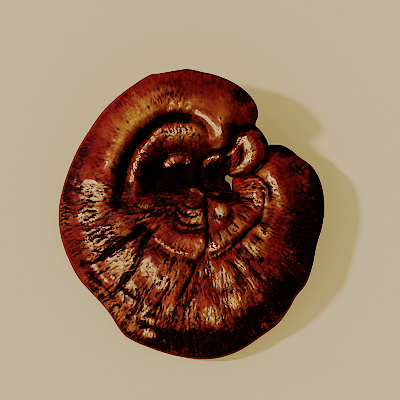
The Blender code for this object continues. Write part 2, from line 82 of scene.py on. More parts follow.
# Azimuth in degrees, rise of the top per millimetre in from the margin
MARGIN_SLOPES = [
    (0, 0.66), (20, 0.62), (45, 0.56), (70, 0.46), (100, 0.4), (150, 0.44), (190, 0.5), (225, 0.54),
    (250, 0.62), (280, 0.82), (315, 0.88), (340, 0.76),
]
INNER_SLOPE = 0.55
SLOPE_REACH = 22.0
PLANE_HEIGHT = 11.5
PLANE_TILT = (0.03, 0.124)
MARGIN_REACH = 60.0
# Rounded edges: height and width
ROLL = (3.2, 4.2)
UNDER_ROLL = (2.5, 3.2)
SMALL_ROLL = (1.8, 2.6)
UNDER_ARCH = 3.0
UNDER_ARCH_TILT = 2.0
UNDER_ARCH_REACH = 34.0
LEAST_THICKNESS = 3.6
NOTCH_ROLL_WIDTH = 3.0
NOTCH_EDGE_HEIGHT = 13.0
NOTCH_EDGE_RISE = 6.0
NOTCH_EDGE_DIP = 2.0
NOTCH_EDGE_HALF = 1.1
EDGE_ROUND = 1.3

# Relief of the cap's top. Each row has the height, the widths to the left and right of a path, the
# shares of its length over which it fades in and out, and the path.
CAP_RELIEF = {
    "outer ring crest": (2.4, 9, 3.5, 0.25, 0.1, [(-42, 0), (-40, 12), (-37.5, 26), (-33, 36),
        (-26, 44.5), (-18, 50), (-9, 52.5), (1, 52), (10, 49.4), (16, 42.6), (17.4, 35)]),
    "outer ring valley": (-6, 3, 2.4, 0.3, 0.15, [(-35, 2), (-34, 12), (-32.6, 22), (-29, 31),
        (-23, 38.6), (-16, 44), (-9, 46.6), (-2, 47.2), (3.6, 45.4), (7.4, 41.8), (9, 37), (9.2, 32)]),
    "inner ridge": (3.4, 2.4, 4.4, 0.3, 0.15, [(-28.5, 9), (-28.6, 16), (-27.2, 22.5), (-24, 29.5),
        (-19.5, 35.6), (-13.5, 40), (-7, 42.6), (-1, 43), (4.4, 41), (7.6, 37.4), (8.4, 32)]),
    "inner ridge shoulder": (2.8, 4.5, 4, 0.3, 0.3, [(-14, 35.6), (-8, 38.4), (-1, 38.4), (4, 35.6)]),
    "tongue in the bowl": (4.6, 1.5, 6, 0.25, 0.25, [(-12.6, 20.5), (-11.6, 24), (-9, 26.4), (-5.4, 27.2),
        (-2, 26)]),
    "fold by the notch": (1.6, 2.2, 1.6, 0.3, 0.2, [(5.4, 14), (4.6, 20), (5.8, 25), (9, 28.4),
        (14, 29.8), (17, 31)]),
    "right lobe ledge": (1.5, 1.5, 1.5, 0.2, 0.2, [(25, 15.4), (29, 17.2), (32.2, 16.6), (35.2, 13.5),
        (36.4, 9), (35.6, 4)]),
    "right lobe valley": (-1.8, 1.5, 1.5, 0.2, 0.3, [(27, 18.8), (31.6, 18.6), (35, 16), (37.2, 12.4),
        (37.8, 8), (37.8, 3)]),
    "right lobe crest": (2.6, 3.6, 7, 0.15, 0.35, [(31.5, 26.6), (37.6, 23.4), (43, 17.6), (45, 9),
        (45, 0), (44, -8)]),
    "terrace crest, right": (1.5, 2.4, 1.6, 0.2, 0.1, [(32.5, 8), (30.6, 2), (27.6, -2.4), (24.6, -6.2),
        (20.6, -10.4), (16, -14), (11.5, -16), (8.2, -15.6)]),
    "terrace edge, right": (-2.2, 1.6, 1.7, 0.2, 0.1, [(35, 6), (33.6, 0), (30.2, -4.4), (26.8, -7.8),
        (24, -10.8), (20.6, -14), (16.8, -17), (12, -19.2), (8, -19.8)]),
    "terrace crest, left": (1.8, 2.4, 1.5, 0.1, 0.2, [(4.5, -18.6), (1, -19), (-4, -18), (-9, -16.5),
        (-13, -14), (-16.5, -10.4), (-18, -7)]),
    "terrace edge, left": (-2, 2.4, 3.4, 0.1, 0.3, [(4, -23.5), (-1, -23), (-8, -21.6), (-13.5, -18.6),
        (-17.6, -13.5), (-20.5, -9)]),
    "terrace groove": (-1.1, 1.2, 1.4, 0.2, 0.1, [(-9, -4), (-5.5, -7.2), (0, -8), (5, -7.4), (8, -6.6)]),
    "step, lower": (-1, 1, 1, 0.2, 0.1, [(-7.5, 3.5), (-6.2, -1.6), (-2.5, -4.6), (2, -5), (6.4, -4)]),
    "step, middle": (-0.9, 0.9, 0.9, 0.2, 0.1, [(-6.5, 6), (-5.5, 2), (-2, -0.6), (2, -0.6), (6, 1)]),
    "step, upper": (-0.8, 0.8, 0.8, 0.2, 0.1, [(-4, 7.6), (-2.6, 4.6), (0.4, 3.2), (4, 3.6), (6, 5)]),
    "lip at the growth centre": (0.8, 0.9, 1.2, 0.2, 0.2, [(-2, 12.6), (1.5, 12.2), (4.5, 11),
        (6.2, 8.4)]),
    "long crack": (-2.4, 1, 1.1, 0.1, 0.5, [(7.2, 14), (6.4, 8), (7, 3), (7.6, -3), (8, -10), (7.4, -15),
        (5.4, -19), (3, -23), (1, -28), (-2, -33), (-5, -38)]),
    "bump": (2.6, 3.2, 3.4, 0, 0, [(13.2, 4.5), (14.2, 1), (14, -2.6)]),
    "groove round the bump": (-0.7, 1.3, 1.3, 0.2, 0.3, [(9, -7), (14, -7.2), (18, -5.4), (20.4, -1),
        (20.4, 4)]),
    "crease, left": (-2.4, 1.8, 2.2, 0.25, 0.25, [(-15, -2.4), (-19, -4.6), (-25, -7.6), (-30.5, -11.2),
        (-38, -16.8), (-44, -21.8), (-50.5, -26.4)]),
    "crease, lower left": (-1.1, 1.3, 1.5, 0.2, 0.25, [(-15, -6), (-20.5, -10.8), (-25, -18), (-28, -25),
        (-33, -31), (-38, -37)]),
    "crease, bottom": (-0.8, 1.5, 1.8, 0.3, 0.3, [(-6, -30), (-10, -38), (-16.5, -46), (-20, -53)]),
    "crease, lower right": (-0.9, 1.6, 1.8, 0.2, 0.3, [(19, -12), (26, -21), (34, -31), (42, -42)]),
    "groove inside the margin": (-1, 1.3, 1.8, 0.25, 0.35, [(-56, -18), (-50, -26.5), (-44.6, -32),
        (-38.6, -38), (-34.4, -44), (-29.4, -49.5), (-22, -53.6), (-12, -57), (0, -59.4), (10, -60)]),
    "swell, left": (0.9, 4, 5, 0.3, 0.3, [(-49, 22), (-51.4, 8), (-50.6, -6), (-46, -18), (-38, -30)]),
    "growth step, lower": (-1.1, 2.6, 3.4, 0.2, 0.2, [(-33, -22), (-24, -33), (-12, -39), (0, -39),
        (12, -38), (24, -33), (34, -24)]),
    "swell, lower": (1.3, 4, 3.5, 0.25, 0.25, [(-20, -46), (-8, -50), (6, -51), (20, -48.5), (32, -42),
        (43, -30), (48, -18)]),
    "roll at the lobe's end": (1.3, 2.6, 2.6, 0.2, 0.2, [(27, 53), (28, 48), (25, 44.6)]),
}
# Hollows of the cap's top: depth, width of the sloping wall, closed outline
CAP_HOLLOWS = {
    "ring hollow": (4, 7, [(-38, 1), (-38, 12), (-36.4, 20), (-33.6, 29), (-29, 37), (-22.4, 43.6),
        (-14, 47.8), (-5, 49.4), (3, 48.8), (9.8, 45.2), (13.6, 39.4), (14.8, 33), (13, 28), (13, 18),
        (9, 12), (2, 10.5), (-8, 8), (-18, 5), (-28, 1)]),
    "bowl": (8, 7, [(-27, 8), (-26.6, 16), (-24, 23), (-20.4, 29), (-15, 33.2), (-8, 34.6), (-1, 34.2),
        (4, 31.6), (6, 27), (5.4, 20), (4.4, 13), (-4, 9.4), (-14, 7), (-22, 5)]),
}
SMALL_CAP_RELIEF = {
    "crest": (2.6, 3, 2.6, 0.25, 0.2, [(24.4, 39.6), (28.6, 38), (31.4, 34), (31.6, 29.4), (29.4, 25),
        (25.4, 21.8)]),
    "inner valley": (-1.8, 1, 1, 0.25, 0.2, [(23, 34), (24, 31), (23.8, 27.6), (22.8, 25), (21, 22.4)]),
    "inner ridge": (1.2, 1, 0.9, 0.2, 0.2, [(21.2, 33.4), (22, 30.4), (21.8, 26.8), (20.4, 23)]),
    "ridge at the base": (1.8, 1.6, 1.8, 0.2, 0.2, [(6.2, 16), (5.8, 20.6), (7.4, 25), (10.6, 27.8),
        (15, 28.6), (19, 30.6)]),
}
SMALL_CAP_HOLLOWS = {
    "hollow at the base": (3.2, 3.6, [(7.6, 17), (7.2, 21.6), (9.6, 25.6), (14, 27), (17.6, 28.6),
        (19.8, 26), (19, 22), (15.6, 18.6), (14, 15.6), (11, 14.6)]),
}
SMALL_BASE_HEIGHT = 12.4
SMALL_CLIMB = 4.0
SMALL_CLIMB_FROM = np.array([8, 14])
SMALL_CLIMB_LENGTH = 40.0
SMALL_RISE = 4.2
SMALL_RISE_REACH = 6.0
SMALL_UNDER_DEPTH = 1.2
SMALL_EDGE_HALF = 0.8
COLLAR_HEIGHT = 9.8
COLLAR_SPREAD = 1.2
COLLAR_WIDTH = 6.0
STEM_CENTRE = np.array([2.6, 19.5])
STEM_RADII = (11, 12.6)

# Wrinkles radiate from one point below and from another on the upper left lobe
FOLD_CENTRE = np.array([6.7, 9.6])
UPPER_FOLD_CENTRE = np.array([-7, 23])
RING_CENTRE = (16.3, 22.6)

# The visual edges of the two caps close up, with this overlap, where the solids are nearer than the reach
OVERLAP = 0.12
SEAM_REACH = 1.1
# Middle of the gap that goes right through
WEDGE = (18, 15)
WEDGE_REACH = 3.2
# Azimuths and tilts of the surface that mirror the panels, in degrees
GLOSS_AZIMUTHS = (176, 256)
GLOSS_TILTS = (16, 21)
FACET_SHARE = 0.8
PORES_FROM = 1.8
# The solid's top is a little above this
HIGHEST = 31.15
CAP_SPACING = 0.47
UNDER_SPACING = 1.25
EDGE_ROWS = (0.1, 0.34, 0.7)
SMALL_CAP_SPACING = 0.3
SMALL_UNDER_SPACING = 0.8
SMALL_EDGE_ROWS = (0.1, 0.3)
# Swells, folds and fine folds: width, length and seed
FOLD_WAVES = ((5, 16, 3), (2.4, 10, 5), (1.5, 5, 8))

# Colour zones seen from above: centre, two radii, turn in degrees, strength
OCHRE_ZONES = [
    (-25, 48, 17, 6, 37, 1), (-35, 32.6, 4, 11, -20, 0.9), (-2, 53, 18, 5, -4, 0.7),
    (13, 47, 5, 6, -50, 0.6), (-33, -8, 7, 4, -30, 0.8), (-13, -46, 6, 3.5, 20, 0.8),
    (-5, -14, 11, 2.4, 10, 0.35), (14, -12, 5, 3, 30, 0.8), (21.5, -5.5, 3.4, 3, 50, 1),
    (25.4, -0.6, 2.6, 3, 0, 0.9), (35, -7.8, 4, 3.6, 0, 1.3), (30.8, -15, 4, 5.4, 15, 1.3),
    (-60, -1, 3, 9, 0, 0.7), (42, 8, 3, 6, 0, 0.6), (24.4, -23, 3, 4.5, 0, 0.8),
    (36.4, 3, 2.2, 5, 0, 0.6), (23, -40.6, 5, 3, 30, 0.8), (1, -2, 6, 5, 0, 0.8),
    (11, -47.4, 6, 4, 10, 0.9), (-12, -28, 12, 9, 40, 0.6), (-42, -14, 12, 8, 30, 0.5),
    (15.5, -30.5, 5, 6, 20, 0.7), (-46, 6, 8, 12, 0, 0.5), (-4, 39, 12, 4, 0, 0.5),
    (-26, 3.4, 8, 1.6, 4, 0.8), (-22, -1.6, 7, 1.4, 22, 0.8), (-22, -34, 10, 8, 45, 0.5),
    (-41, -41, 16, 4, -48, 0.8), (-27, -54, 7, 4, -30, 0.9),
]
# Dark crust with painted shade. The near-black margins are partly pigment and partly painted shade where they
# face away from the light. The bowl, the ring valley, the hollow by the notch and the creases are painted
# shade.
DARK_AND_SHADE_ZONES = [
    (0, -60, 34, 7, 4, 1), (30, -50, 16, 8, 40, 1), (-18, -56, 12, 3.5, -30, 0.8),
    (59, -12, 13, 27, 6, 1.2), (61.5, 10, 4.5, 18, 14, 1.1), (47, -38, 15, 13, 55, 1.1),
    (18, -62, 34, 9, 12, 1), (45, -24, 5, 6, 0, 0.6), (24, 57, 6.4, 5, -30, 0.9),
    (30, 48.5, 4, 6, 0, 0.55), (-12, 0.4, 13, 4.6, -8, 0.58), (42, 32, 12, 4, -12, 1),
    (52, 22, 8, 6, -40, 0.6), (20, 40, 5, 5, 0, 0.9), (16, 9, 10, 4, 0, 0.9),
    (-10, 19.5, 17.5, 12.8, -4, 1.2), (1, 21, 7, 10, 0, 1.3), (-13, 7.5, 9, 4, -12, 0.8),
    (-23, -7, 6, 3.6, -28, 0.8), (-40, -18.4, 11, 1.6, 33, 1), (-27, -10, 7, 2, 30, 1),
    (-31, -31, 9, 1.1, 47, 0.7), (-3, -35, 8, 1.1, 60, 0.8), (7.2, 5, 1.5, 8, 0, 0.8),
    (32.8, -21.6, 3, 2.4, 30, 0.75), (46, -9.5, 2.4, 3.4, 0, 0.7), (21, -11.6, 1.6, 1.4, 0, 0.8),
    (-50, -25, 3.4, 7, 32, 0.5), (-15, 5.6, 12, 2, 8, 0.75), (-58, 18, 2.6, 6, -14, 0.45),
    (27, 20.4, 5, 1.8, 0, 0.9), (-33, 20, 3.5, 16, -12, 0.9), (-20, 40, 3.5, 12, -48, 0.9),
    (-4, 45.6, 12, 2.3, 0, 0.9), (-36, 6, 5, 5, 0, 0.8),
]
RED_ZONES = [
    (-57, -16, 6, 20, 12, 0.9), (-57, 14, 6, 20, -12, 0.8), (50, 12, 6, 13, 12, 0.8),
    (0, 62, 24, 7, 0, 1), (46, 22, 9, 9, -40, 0.9), (-46, 36, 8, 7, 60, 0.8), (21, 52, 7, 8, 0, 0.9),
    (2, -8, 9, 2.4, 0, 1), (-34, 3, 10, 5, 10, 0.7), (-12, -20, 14, 5, -20, 0.7),
    (41, -24, 6, 7, 10, 0.6), (28, 2, 4, 5, 0, 0.6), (40, -6, 4, 7, 0, 0.6), (27, -31, 4, 5, -30, 0.6),
    (8, -36, 4, 4, 0, 0.6), (26, -10, 3, 3, 0, 0.6), (14, 0, 6, 6.4, 0, 0.6), (-2, 33, 14, 3.4, 0, 0.9),
    (-18, -1, 10, 7, 0, 0.9), (10, -9, 6, 3, 0, 0.7), (0, -10, 9, 2, -4, 0.8),
    (-23, -35, 5, 4, -40, 0.5), (20, 50, 7, 9, 0, 0.9), (-58, 0, 5, 26, 0, 0.7), (28, 48, 5, 7, 0, 0.9),
    (41.5, -15, 5.5, 13, 0, 0.6), (-49, 33, 6, 12, -24, 1.1), (31, -4, 2.4, 3, 30, 0.8),
    (26, -13, 2.6, 3, 40, 0.8), (30, -27, 4, 6, 30, 0.8), (20, -24, 2, 6, 30, 0.6),
    (37, 3, 2, 6, 0, 0.5),
]
# Where the lacquer is glossiest; elsewhere it is duller
GLOSS_ZONES = [
    (-47.5, 11.5, 6.5, 5.5, 0, 1), (-50, -1, 5.5, 5, 0, 0.9), (-44, -10, 8, 4.5, 25, 1),
    (-42, -17, 9, 2.6, 35, 1), (-34, -24, 9, 7, 45, 1), (-20.5, -26, 4.4, 5.4, 0, 0.75),
    (-29, -35.5, 3.4, 4, 45, 1), (-31.5, -39.5, 5.5, 3.4, -40, 1), (-14, -33, 4.5, 4, 0, 1),
    (-22.5, -46, 4.6, 4, -30, 1), (-13, -46.5, 3.5, 3, 0, 0.5), (0, -48, 9, 8, 0, 0.3),
    (-27, -49, 3, 2, -35, 0.6), (22, -36, 3, 2.4, 40, 0.7), (16.5, -31.5, 5.5, 6, 0, 1),
    (11, -48, 5, 5, 0, 1), (19, -41, 6, 3.4, 30, 1), (-5, 40, 12, 4.5, 0, 0.8),
    (31, 5, 3, 4, 0, 0.6), (-38.5, 30, 2.4, 7, -20, 0.2), (30.5, 9, 5, 6, 0, 0.9),
    (1, 0, 5, 5, 0, 0.45), (35, -7.6, 3, 3, 0, 0.5), (31, -15, 3, 4, 15, 0.5),
    (24.5, -25, 3.5, 4.5, 0, 0.9), (5, -15, 2.5, 4, -20, 0.9), (11, -15, 4, 2.5, 20, 0.8),
    (14.3, 1.2, 3, 4.6, -14, 1.2), (-10, 50.6, 2.1, 2.6, -14, 1.2), (-5.6, 51.4, 1.2, 2, -6, 1.1),
    (-1.4, 51, 1.8, 2.6, 0, 1.2), (2.4, 50, 1.8, 2.6, 14, 1.2), (-20, -50, 4.4, 3, -24, 0.8),
    (8, -26, 5, 5, 0, 0.5), (30, -32, 7, 5, 40, 0.4),
]
# Beads of gloss on the terrace's crest, long and narrow across it
TERRACE_BEADS = [
    (-16.6, -11.4), (-15, -13), (-13.2, -14.2), (-11.2, -15.4), (-9, -16.4), (-6.8, -17.4), (-4.6, -18.1),
    (-2.4, -18.6),
]
GLOSS_ZONES += [(x, y, 0.85, 1.5, 25, 1.15) for x, y in TERRACE_BEADS]
# Where the crust is paler than elsewhere, which on the glossy patches and bands is a painted highlight, and
# where it is duller, which in the ring valley and by the notch is painted shade
PALE_AND_PAINTED_HIGHLIGHT_ZONES = [
    (-4, -14, 12, 4, 0, 0.6), (1, -1, 6, 6, 0, 0.5), (13, -13, 6, 3, 20, 0.7), (22, -5, 4, 5, 0, 0.8),
    (-42, 5, 5, 5, 0, 0.9), (42, -20, 5, 8, 0, 0.5), (19, -21, 4, 5, 30, 0.5),
    (-20, -50, 6, 4, -24, 0.6), (31, -13, 5, 7, 20, 0.8), (15, -30, 7, 6, 0, 0.8),
    (30, 8, 5, 8, 0, 0.8), (41, 9, 4, 7, 10, 0.6), (-4, 38, 13, 6, 0, 0.8), (12, 48, 9, 7, 0, 0.7),
    (-2, 51.6, 14, 4, 0, 0.9), (-24, -27, 13, 9, 30, 0.5), (-16, -42, 14, 7, -20, 0.5),
    (14, -44, 14, 7, 15, 0.5), (-30, 45, 14, 6, 40, 0.4), (36, 19, 6, 5, -30, 1),
]
DULL_AND_PAINTED_SHADE_ZONES = [
    (-61, 5, 4, 26, 0, 0.6), (-54, 24, 5, 9, 20, 0.4), (-31, 4, 9, 5, 10, 0.5),
    (-30, 18, 4, 14, -10, 0.8), (-57, -14, 5, 9, 20, 0.3), (0, 63, 28, 6, 0, 0.4),
    (18, 10, 7, 3, 0, 0.8),
]
# Lines of gloss: path, width and, on some, the azimuths in degrees between which they face
GLOSS_LINES = [
    ([(3, 48.6), (7, 46.4), (10.4, 42.8), (12.6, 38.8), (13.2, 35.4), (12.4, 32.4)], 3.1),
    ([(-28.8, 16.6), (-28.2, 19.2)], 1.3),
    ([(-27.6, 21.4), (-26.6, 24.4)], 1.4),
    ([(-25.6, 26.8), (-24.4, 29)], 1.3),
    ([(-22.8, 31), (-21, 33)], 1.4),
    ([(-19.6, 34.4), (-18, 36.8)], 1.3),
    ([(-16.6, 38.6), (-14.6, 40.2)], 1.3),
    ([(0.6, 11.8), (3.4, 11.2), (5.4, 9.4)], 1.1, 205, 250),
    ([(32.4, 22.4), (34.6, 20.6), (37.4, 18), (39.6, 15), (40.8, 12)], 2.1, 205, 250),
    ([(26, 16.2), (28.6, 17), (30.6, 17.2), (32.8, 15.6), (35.4, 13.2)], 0.8),
    ([(26.8, 12), (28.2, 13.4), (29.2, 15)], 0.7),
    ([(41, 13), (42, 9), (42, 5)], 1.2),
    ([(-11.6, 24.4), (-10, 26), (-7.5, 26.9), (-4.6, 27.1), (-2.4, 26.4)], 2.1),
    ([(36.2, 12.4), (36.4, 8), (36, 5)], 0.6),
    ([(8.4, 26.8), (11, 27.8), (14, 28.2)], 0.7),
    ([(-22, -56.2), (-18.4, -57.4)], 1.6),
    ([(-43, -29.4), (-40.4, -31.6)], 1.4),
    ([(-46.6, -24.4), (-44.8, -26.6)], 1.2),
    ([(9.6, -20), (11.4, -19.2)], 1.1),
    ([(13, -18.4), (15, -17.4)], 1.1),
    ([(16.6, -16.2), (18.6, -14.6)], 1),
    ([(4.2, -12.6), (3, -17), (1.4, -20)], 1.3),
    ([(26.4, -14.6), (28.2, -17), (30.4, -19.4)], 0.9),
    ([(10.6, 10.7), (12.4, 10.3)], 1),
]
# Where the crust is satin rather than glossy
SATIN_ZONES = [
    (-30, 46, 26, 10, 38, 1), (-49, 29, 9, 16, 24, 1), (0, 61, 30, 8.5, 0, 1),
    (-60, 0, 4, 26, 0, 1), (-56, -24, 5, 14, 30, 0.8), (44, 14, 8, 14, 10, 0.6),
]
# Narrow creases and knobs that only the visual has, in the form of the relief's lines
CAP_CREASES = {
    "second crease, left": (-0.9, 0.8, 0.8, 0.2, 0.1, [(-20, -9), (-23, -17), (-25.5, -24), (-29, -29),
        (-34, -34), (-38.5, -38.6)]),
    "third crease": (-0.9, 0.7, 0.7, 0.3, 0.15, [(-8, -29), (-11, -35), (-14, -40), (-17.6, -46)]),
    "end of the long crack": (-1.5, 1.1, 1.1, 0.1, 0.3, [(3.4, -22), (1, -27), (-1.6, -33), (-5, -39),
        (-8, -45)]),
    "growth line, lower left": (-0.8, 0.7, 1, 0.2, 0.3, [(-37, -32), (-32.5, -35.5), (-27, -39.6),
        (-22, -42)]),
    "thin crease, right": (-0.7, 0.5, 0.6, 0.2, 0.2, [(17, -20.6), (20.6, -24), (24, -27.6),
        (27.6, -31)]),
    "thin crease, far right": (-0.6, 0.5, 0.6, 0.2, 0.2, [(24.6, -14.6), (28, -18), (31.6, -21)]),
    "groove in the right lobe": (-1, 0.6, 0.6, 0.2, 0.2, [(33.6, 13), (34.8, 9), (34.6, 4), (33, 0)]),
    "line on the upper lobe": (-0.2, 0.6, 0.6, 0.3, 0.3, [(-14, 57), (-4, 58.6), (8, 57.4), (18, 52)]),
    "line above the ring": (-0.2, 0.7, 0.7, 0.3, 0.3, [(-36, 36), (-28, 44.6), (-16, 51.5)]),
    "second crease, upper end": (-0.9, 0.8, 0.8, 0.2, 0.2, [(-13, -3.6), (-18, -8.4), (-24, -14)]),
    "line right of the bump": (-1.3, 0.6, 0.6, 0.2, 0.2, [(19.6, 3), (18.6, 0.6), (16.8, -2.2)]),
    "upper stroke left of the bowl": (-0.8, 0.6, 0.6, 0.3, 0.2, [(-34, 0.6), (-24, 1.2), (-14, 3.2)]),
    "lower stroke left of the bowl": (-0.8, 0.6, 0.6, 0.3, 0.2, [(-30, -4), (-21, -1.2), (-12, 1.6)]),
    "first knob": (0.9, 2.4, 2.4, 0, 0, [(33.4, -6.6), (36.8, -9)]),
    "second knob": (1, 2.6, 2.6, 0, 0, [(28.6, -12.6), (32.6, -16.6)]),
    "third knob": (0.8, 1.9, 1.9, 0, 0, [(22.8, -21.4), (25.8, -25.6)]),
    "between the knobs": (-0.8, 0.7, 0.7, 0.2, 0.3, [(28.6, -8.6), (31.6, -10.8), (36.4, -13.6)]),
    "above the first knob": (-0.8, 0.7, 0.7, 0.2, 0.3, [(31, -2.6), (34.6, -3.8), (39, -5)]),
}
# Creases between the folds of the terrace: azimuths in degrees about the fold centre, ends and shape
TERRACE_FOLDS = (-83, -70, -57, -44.5, -30, -16, -5)
TERRACE_REACH = (16.5, 24.5)
TERRACE_CREASE = (-0.7, 0.6, 0.6, 0.3, 0.3)
SMALL_OCHRE_ZONES = [
    (23, 36, 2.5, 2.5, -30, 0.8), (29, 30, 2, 6, 10, 0.7), (9, 26, 4, 2, 40, 0.6),
]
# Painted shade on the small cap: in the hollow at its base, beside the slot, and on the margins that face
# away from the light
SMALL_DARK_AND_SHADE_ZONES = [
    (28, 42.4, 9, 3, 0, 1), (36.4, 34, 2.6, 8, 25, 1), (12, 19, 9, 7, 0, 1.2),
    (5.4, 18, 2.6, 6, 0, 1.3), (31, 21, 8, 2.2, 38, 1), (22.6, 29.4, 1.2, 4, -10, 0.7),
    (17, 33, 3.6, 6, -35, 0.9), (20.4, 39, 2.2, 4, -30, 0.9), (17, 24, 3, 6, 0, 1),
]
SMALL_RED_ZONES = [
    (29.5, 35.5, 3.5, 4, 10, 1), (24.6, 30, 1.2, 6, 0, 0.8), (32, 28, 2.5, 4, 0, 0.7),
]
SMALL_GLOSS_ZONES = [(23, 35.6, 1.7, 2.2, -30, 1)]
SMALL_GLOSS_LINES = [
    ([(26, 36.4), (27, 33.6), (27.3, 30.6), (27.2, 28), (26.4, 25.4), (24.6, 23.2), (22.4, 21.2),
        (20.8, 20.2)], 1.5),
    ([(22.2, 32.4), (20.2, 30.4), (18, 28.8)], 0.6),
    ([(23.6, 29.4), (22.6, 26.4), (21.6, 24)], 0.6),
    ([(8, 26.4), (9.6, 27.4), (12.6, 28)], 0.8),
]
# Where the crust is crumpled in all directions
CRUMPLE_ZONES = [
    (-5, 37.5, 13, 6, 0, 1), (-26, 25, 3.6, 11, -18, 1.1), (-8, -16, 11, 3, -25, 1.1),
    (-2, -50, 8, 6, 0, 0.7), (-34, -45, 10, 4, -48, 0.6), (14, -17, 7, 3, 28, 0.9),
    (-20.5, -26, 4, 5, 0, 0.5), (31, 14.5, 6, 4, 0, 0.7),
]
# Strength of the wrinkles by zone, over a weak ground level
WRINKLE_ZONES = [
    (-5, -45, 50, 26, 0, 1), (36, -8, 18, 26, 0, 0.5), (22, -18, 10, 10, 0, 0.8),
    (-20, 0, 12, 8, 0, 1), (2, 0, 12, 12, 0, 0.6), (-46, 0, 18, 26, 0, 0.8), (0, 38, 22, 9, 0, 0.7),
    (30, 10, 12, 12, 0, 0.8), (-36, -20, 18, 18, 0, 0.8), (-42, -44, 22, 6, -48, 1),
    (-50, 10, 12, 12, 0, 0.8), (-33, 20, 5, 18, -12, 0.4), (-20, 43, 14, 5, 42, 0.4),
    (-4, 52, 15, 6, 0, 0.55), (12, 42, 5, 9, 10, 0.6),
]

# Colours
# The blackest red, painted as shade at the bottoms of the creases
BLOOD_BLACK = (0.016, 0.004, 0.005)
DEEP_RED = (0.045, 0.0085, 0.0100)
RED_BROWN = (0.175, 0.030, 0.022)
CRIMSON = (0.150, 0.018, 0.022)
MAROON = (0.115, 0.018, 0.018)
RIM_TAN = (0.30, 0.14, 0.07)
SCARLET = (0.350, 0.048, 0.026)
TAWNY = (0.300, 0.125, 0.050)
OCHRE = (0.37, 0.198, 0.070)
PALE_OCHRE = (0.46, 0.31, 0.14)
PURPLE_BLACK = (0.011, 0.0055, 0.0070)
PORE_YELLOW = (0.66, 0.42, 0.09)
PORE_CREAM = (0.74, 0.58, 0.30)
# Painted shade in the holes of the pores
PORE_SHADE = (0.30, 0.16, 0.05)
CUT_TAN = (0.36, 0.22, 0.11)
CUT_BROWN = (0.20, 0.105, 0.045)
BARK = (0.07, 0.022, 0.012)
FLOOR_COLOURS = ((0.62, 0.58, 0.52), (0.64, 0.60, 0.54))
FLOOR_GLOW = (1.0, 0.90, 0.72)
FLOOR_GLOW_STRENGTH = 0.22

# Sizes from here on are in metres
FLOOR_HALF = 1.6
KEY_FROM = (-0.795, 0.2, 0.574)
KEY_POWER = 2.8
KEY_ANGLE = math.radians(5)
KEY_COLOUR = (0.88, 0.95, 1.0)
# Even light from low all round, which changes to less between two heights of the sky, from -1 to 1
FILL_COLOUR = (1.0, 0.90, 0.76)
FILL_LOW = 1.15
FILL_OVERHEAD = 0.12
FILL_CHANGE = (0.55, 0.98)
# Broad panels that only show as gloss: azimuth in degrees and power
GLOSS_PANELS = ((182, 13), (216, 13), (250, 11))
PANEL_ELEVATION = 52
PANEL_SIZE = 0.5
PANEL_DISTANCE = 1.3
PANEL_COLOUR = (1.0, 0.88, 0.79)
# The photograph's size in pixels, a pixel's size, and the pixel at the outlines' origin
PHOTO_SIZE = 400
PIXEL = 0.48 * MM
MIDDLE_PIXEL = (191, 215)
CAMERA_HEIGHT = 1.5
SHARP_HEIGHT = 0.012
# Brightness from 0 to this value is spread over the curves' width
TONE_WHITE = 2.0
TONE_CURVE = [
    (0, 0), (0.012, 0.0020), (0.025, 0.0090), (0.05, 0.038), (0.08, 0.10), (0.12, 0.20), (0.2, 0.36),
    (0.35, 0.49), (0.5, 0.535), (0.75, 0.58), (1.0, 0.62),
]
CHANNEL_CURVES = [
    [(0, 0), (0.1, 0.091), (0.3, 0.270), (0.52, 0.535), (1, 1.04)],
    [(0, 0.0002), (0.062, 0.051), (0.184, 0.139), (0.475, 0.32), (0.64, 0.45), (1, 0.70)],
    [(0, 0.0002), (0.046, 0.031), (0.33, 0.165), (0.65, 0.333), (1, 0.515)],
]
SHARPEN = 0.42


def curve(points, steps, closed=False):
    """Smooth curve through the points, with some steps between each two."""
    corners = np.array(points, float)
    if closed:
        corners = np.vstack([corners[-1:], corners, corners[:2]])
    else:
        corners = np.vstack([2 * corners[0] - corners[1], corners, 2 * corners[-1] - corners[-2]])
    t = np.linspace(0, 1, steps, endpoint=False)[:, None]
    spans = []
    for a, b, c, d in zip(corners, corners[1:], corners[2:], corners[3:]):
        bend = (2 * a - 5 * b + 4 * c - d) * t**2 + (3 * b - a - 3 * c + d) * t**3
        spans.append(0.5 * (2 * b + (c - a) * t + bend))
    return np.concatenate(spans if closed else spans + [corners[-2:-1]])


def pair(x, y):
    """Points from two coordinates."""
    return np.column_stack([x, y])


def polar(points, centre=(0, 0)):
    """Azimuth in degrees, from 0 to 360, and distance from the centre."""
    x, y = (points - np.array(centre)).T
    return np.degrees(np.arctan2(y, x)) % 360, np.hypot(x, y)


def measure(points, path, closed=True):
    """Distance to the path, side of it (+1 is left) and share of its length."""
    ends = np.roll(path, -1, axis=0)
    count = len(path) if closed else len(path) - 1
    lengths = np.linalg.norm(ends - path, axis=1)[:count]
    before = np.concatenate([[0], np.cumsum(lengths)])
    best = np.full((3, len(points)), 1e9)
    for i in range(count):
        span = ends[i] - path[i]
        t = np.clip((points - path[i]) @ span / max(lengths[i]**2, 1e-12), 0, 1)
        across = points - path[i] - t[:, None] * span
        distance = (across**2).sum(axis=1)
        closer = distance < best[0]
        side = span[0] * across[closer, 1] - span[1] * across[closer, 0]
        share = (before[i] + t[closer] * lengths[i]) / before[-1]
        best[:, closer] = distance[closer], side, share
    return np.sqrt(best[0]), np.sign(best[1]), best[2]


def is_inside(points, loop):
    """True for each point inside the closed loop."""
    x, y = points.T
    result = np.zeros(len(points), bool)
    for (x1, y1), (x2, y2) in zip(loop, np.roll(loop, -1, axis=0)):
        if y1 != y2:
            result ^= ((y1 > y) != (y2 > y)) & (x < (x2 - x1) * (y - y1) / (y2 - y1) + x1)
    return result


def depth_inside(points, loop):
    """Distance in from the loop, zero outside it."""
    return np.where(is_inside(points, loop), measure(points, loop)[0], 0)


def ease(t):
    """Smooth step from 0 to 1."""
    t = np.clip(t, 0, 1)
    return t * t * (3 - 2 * t)


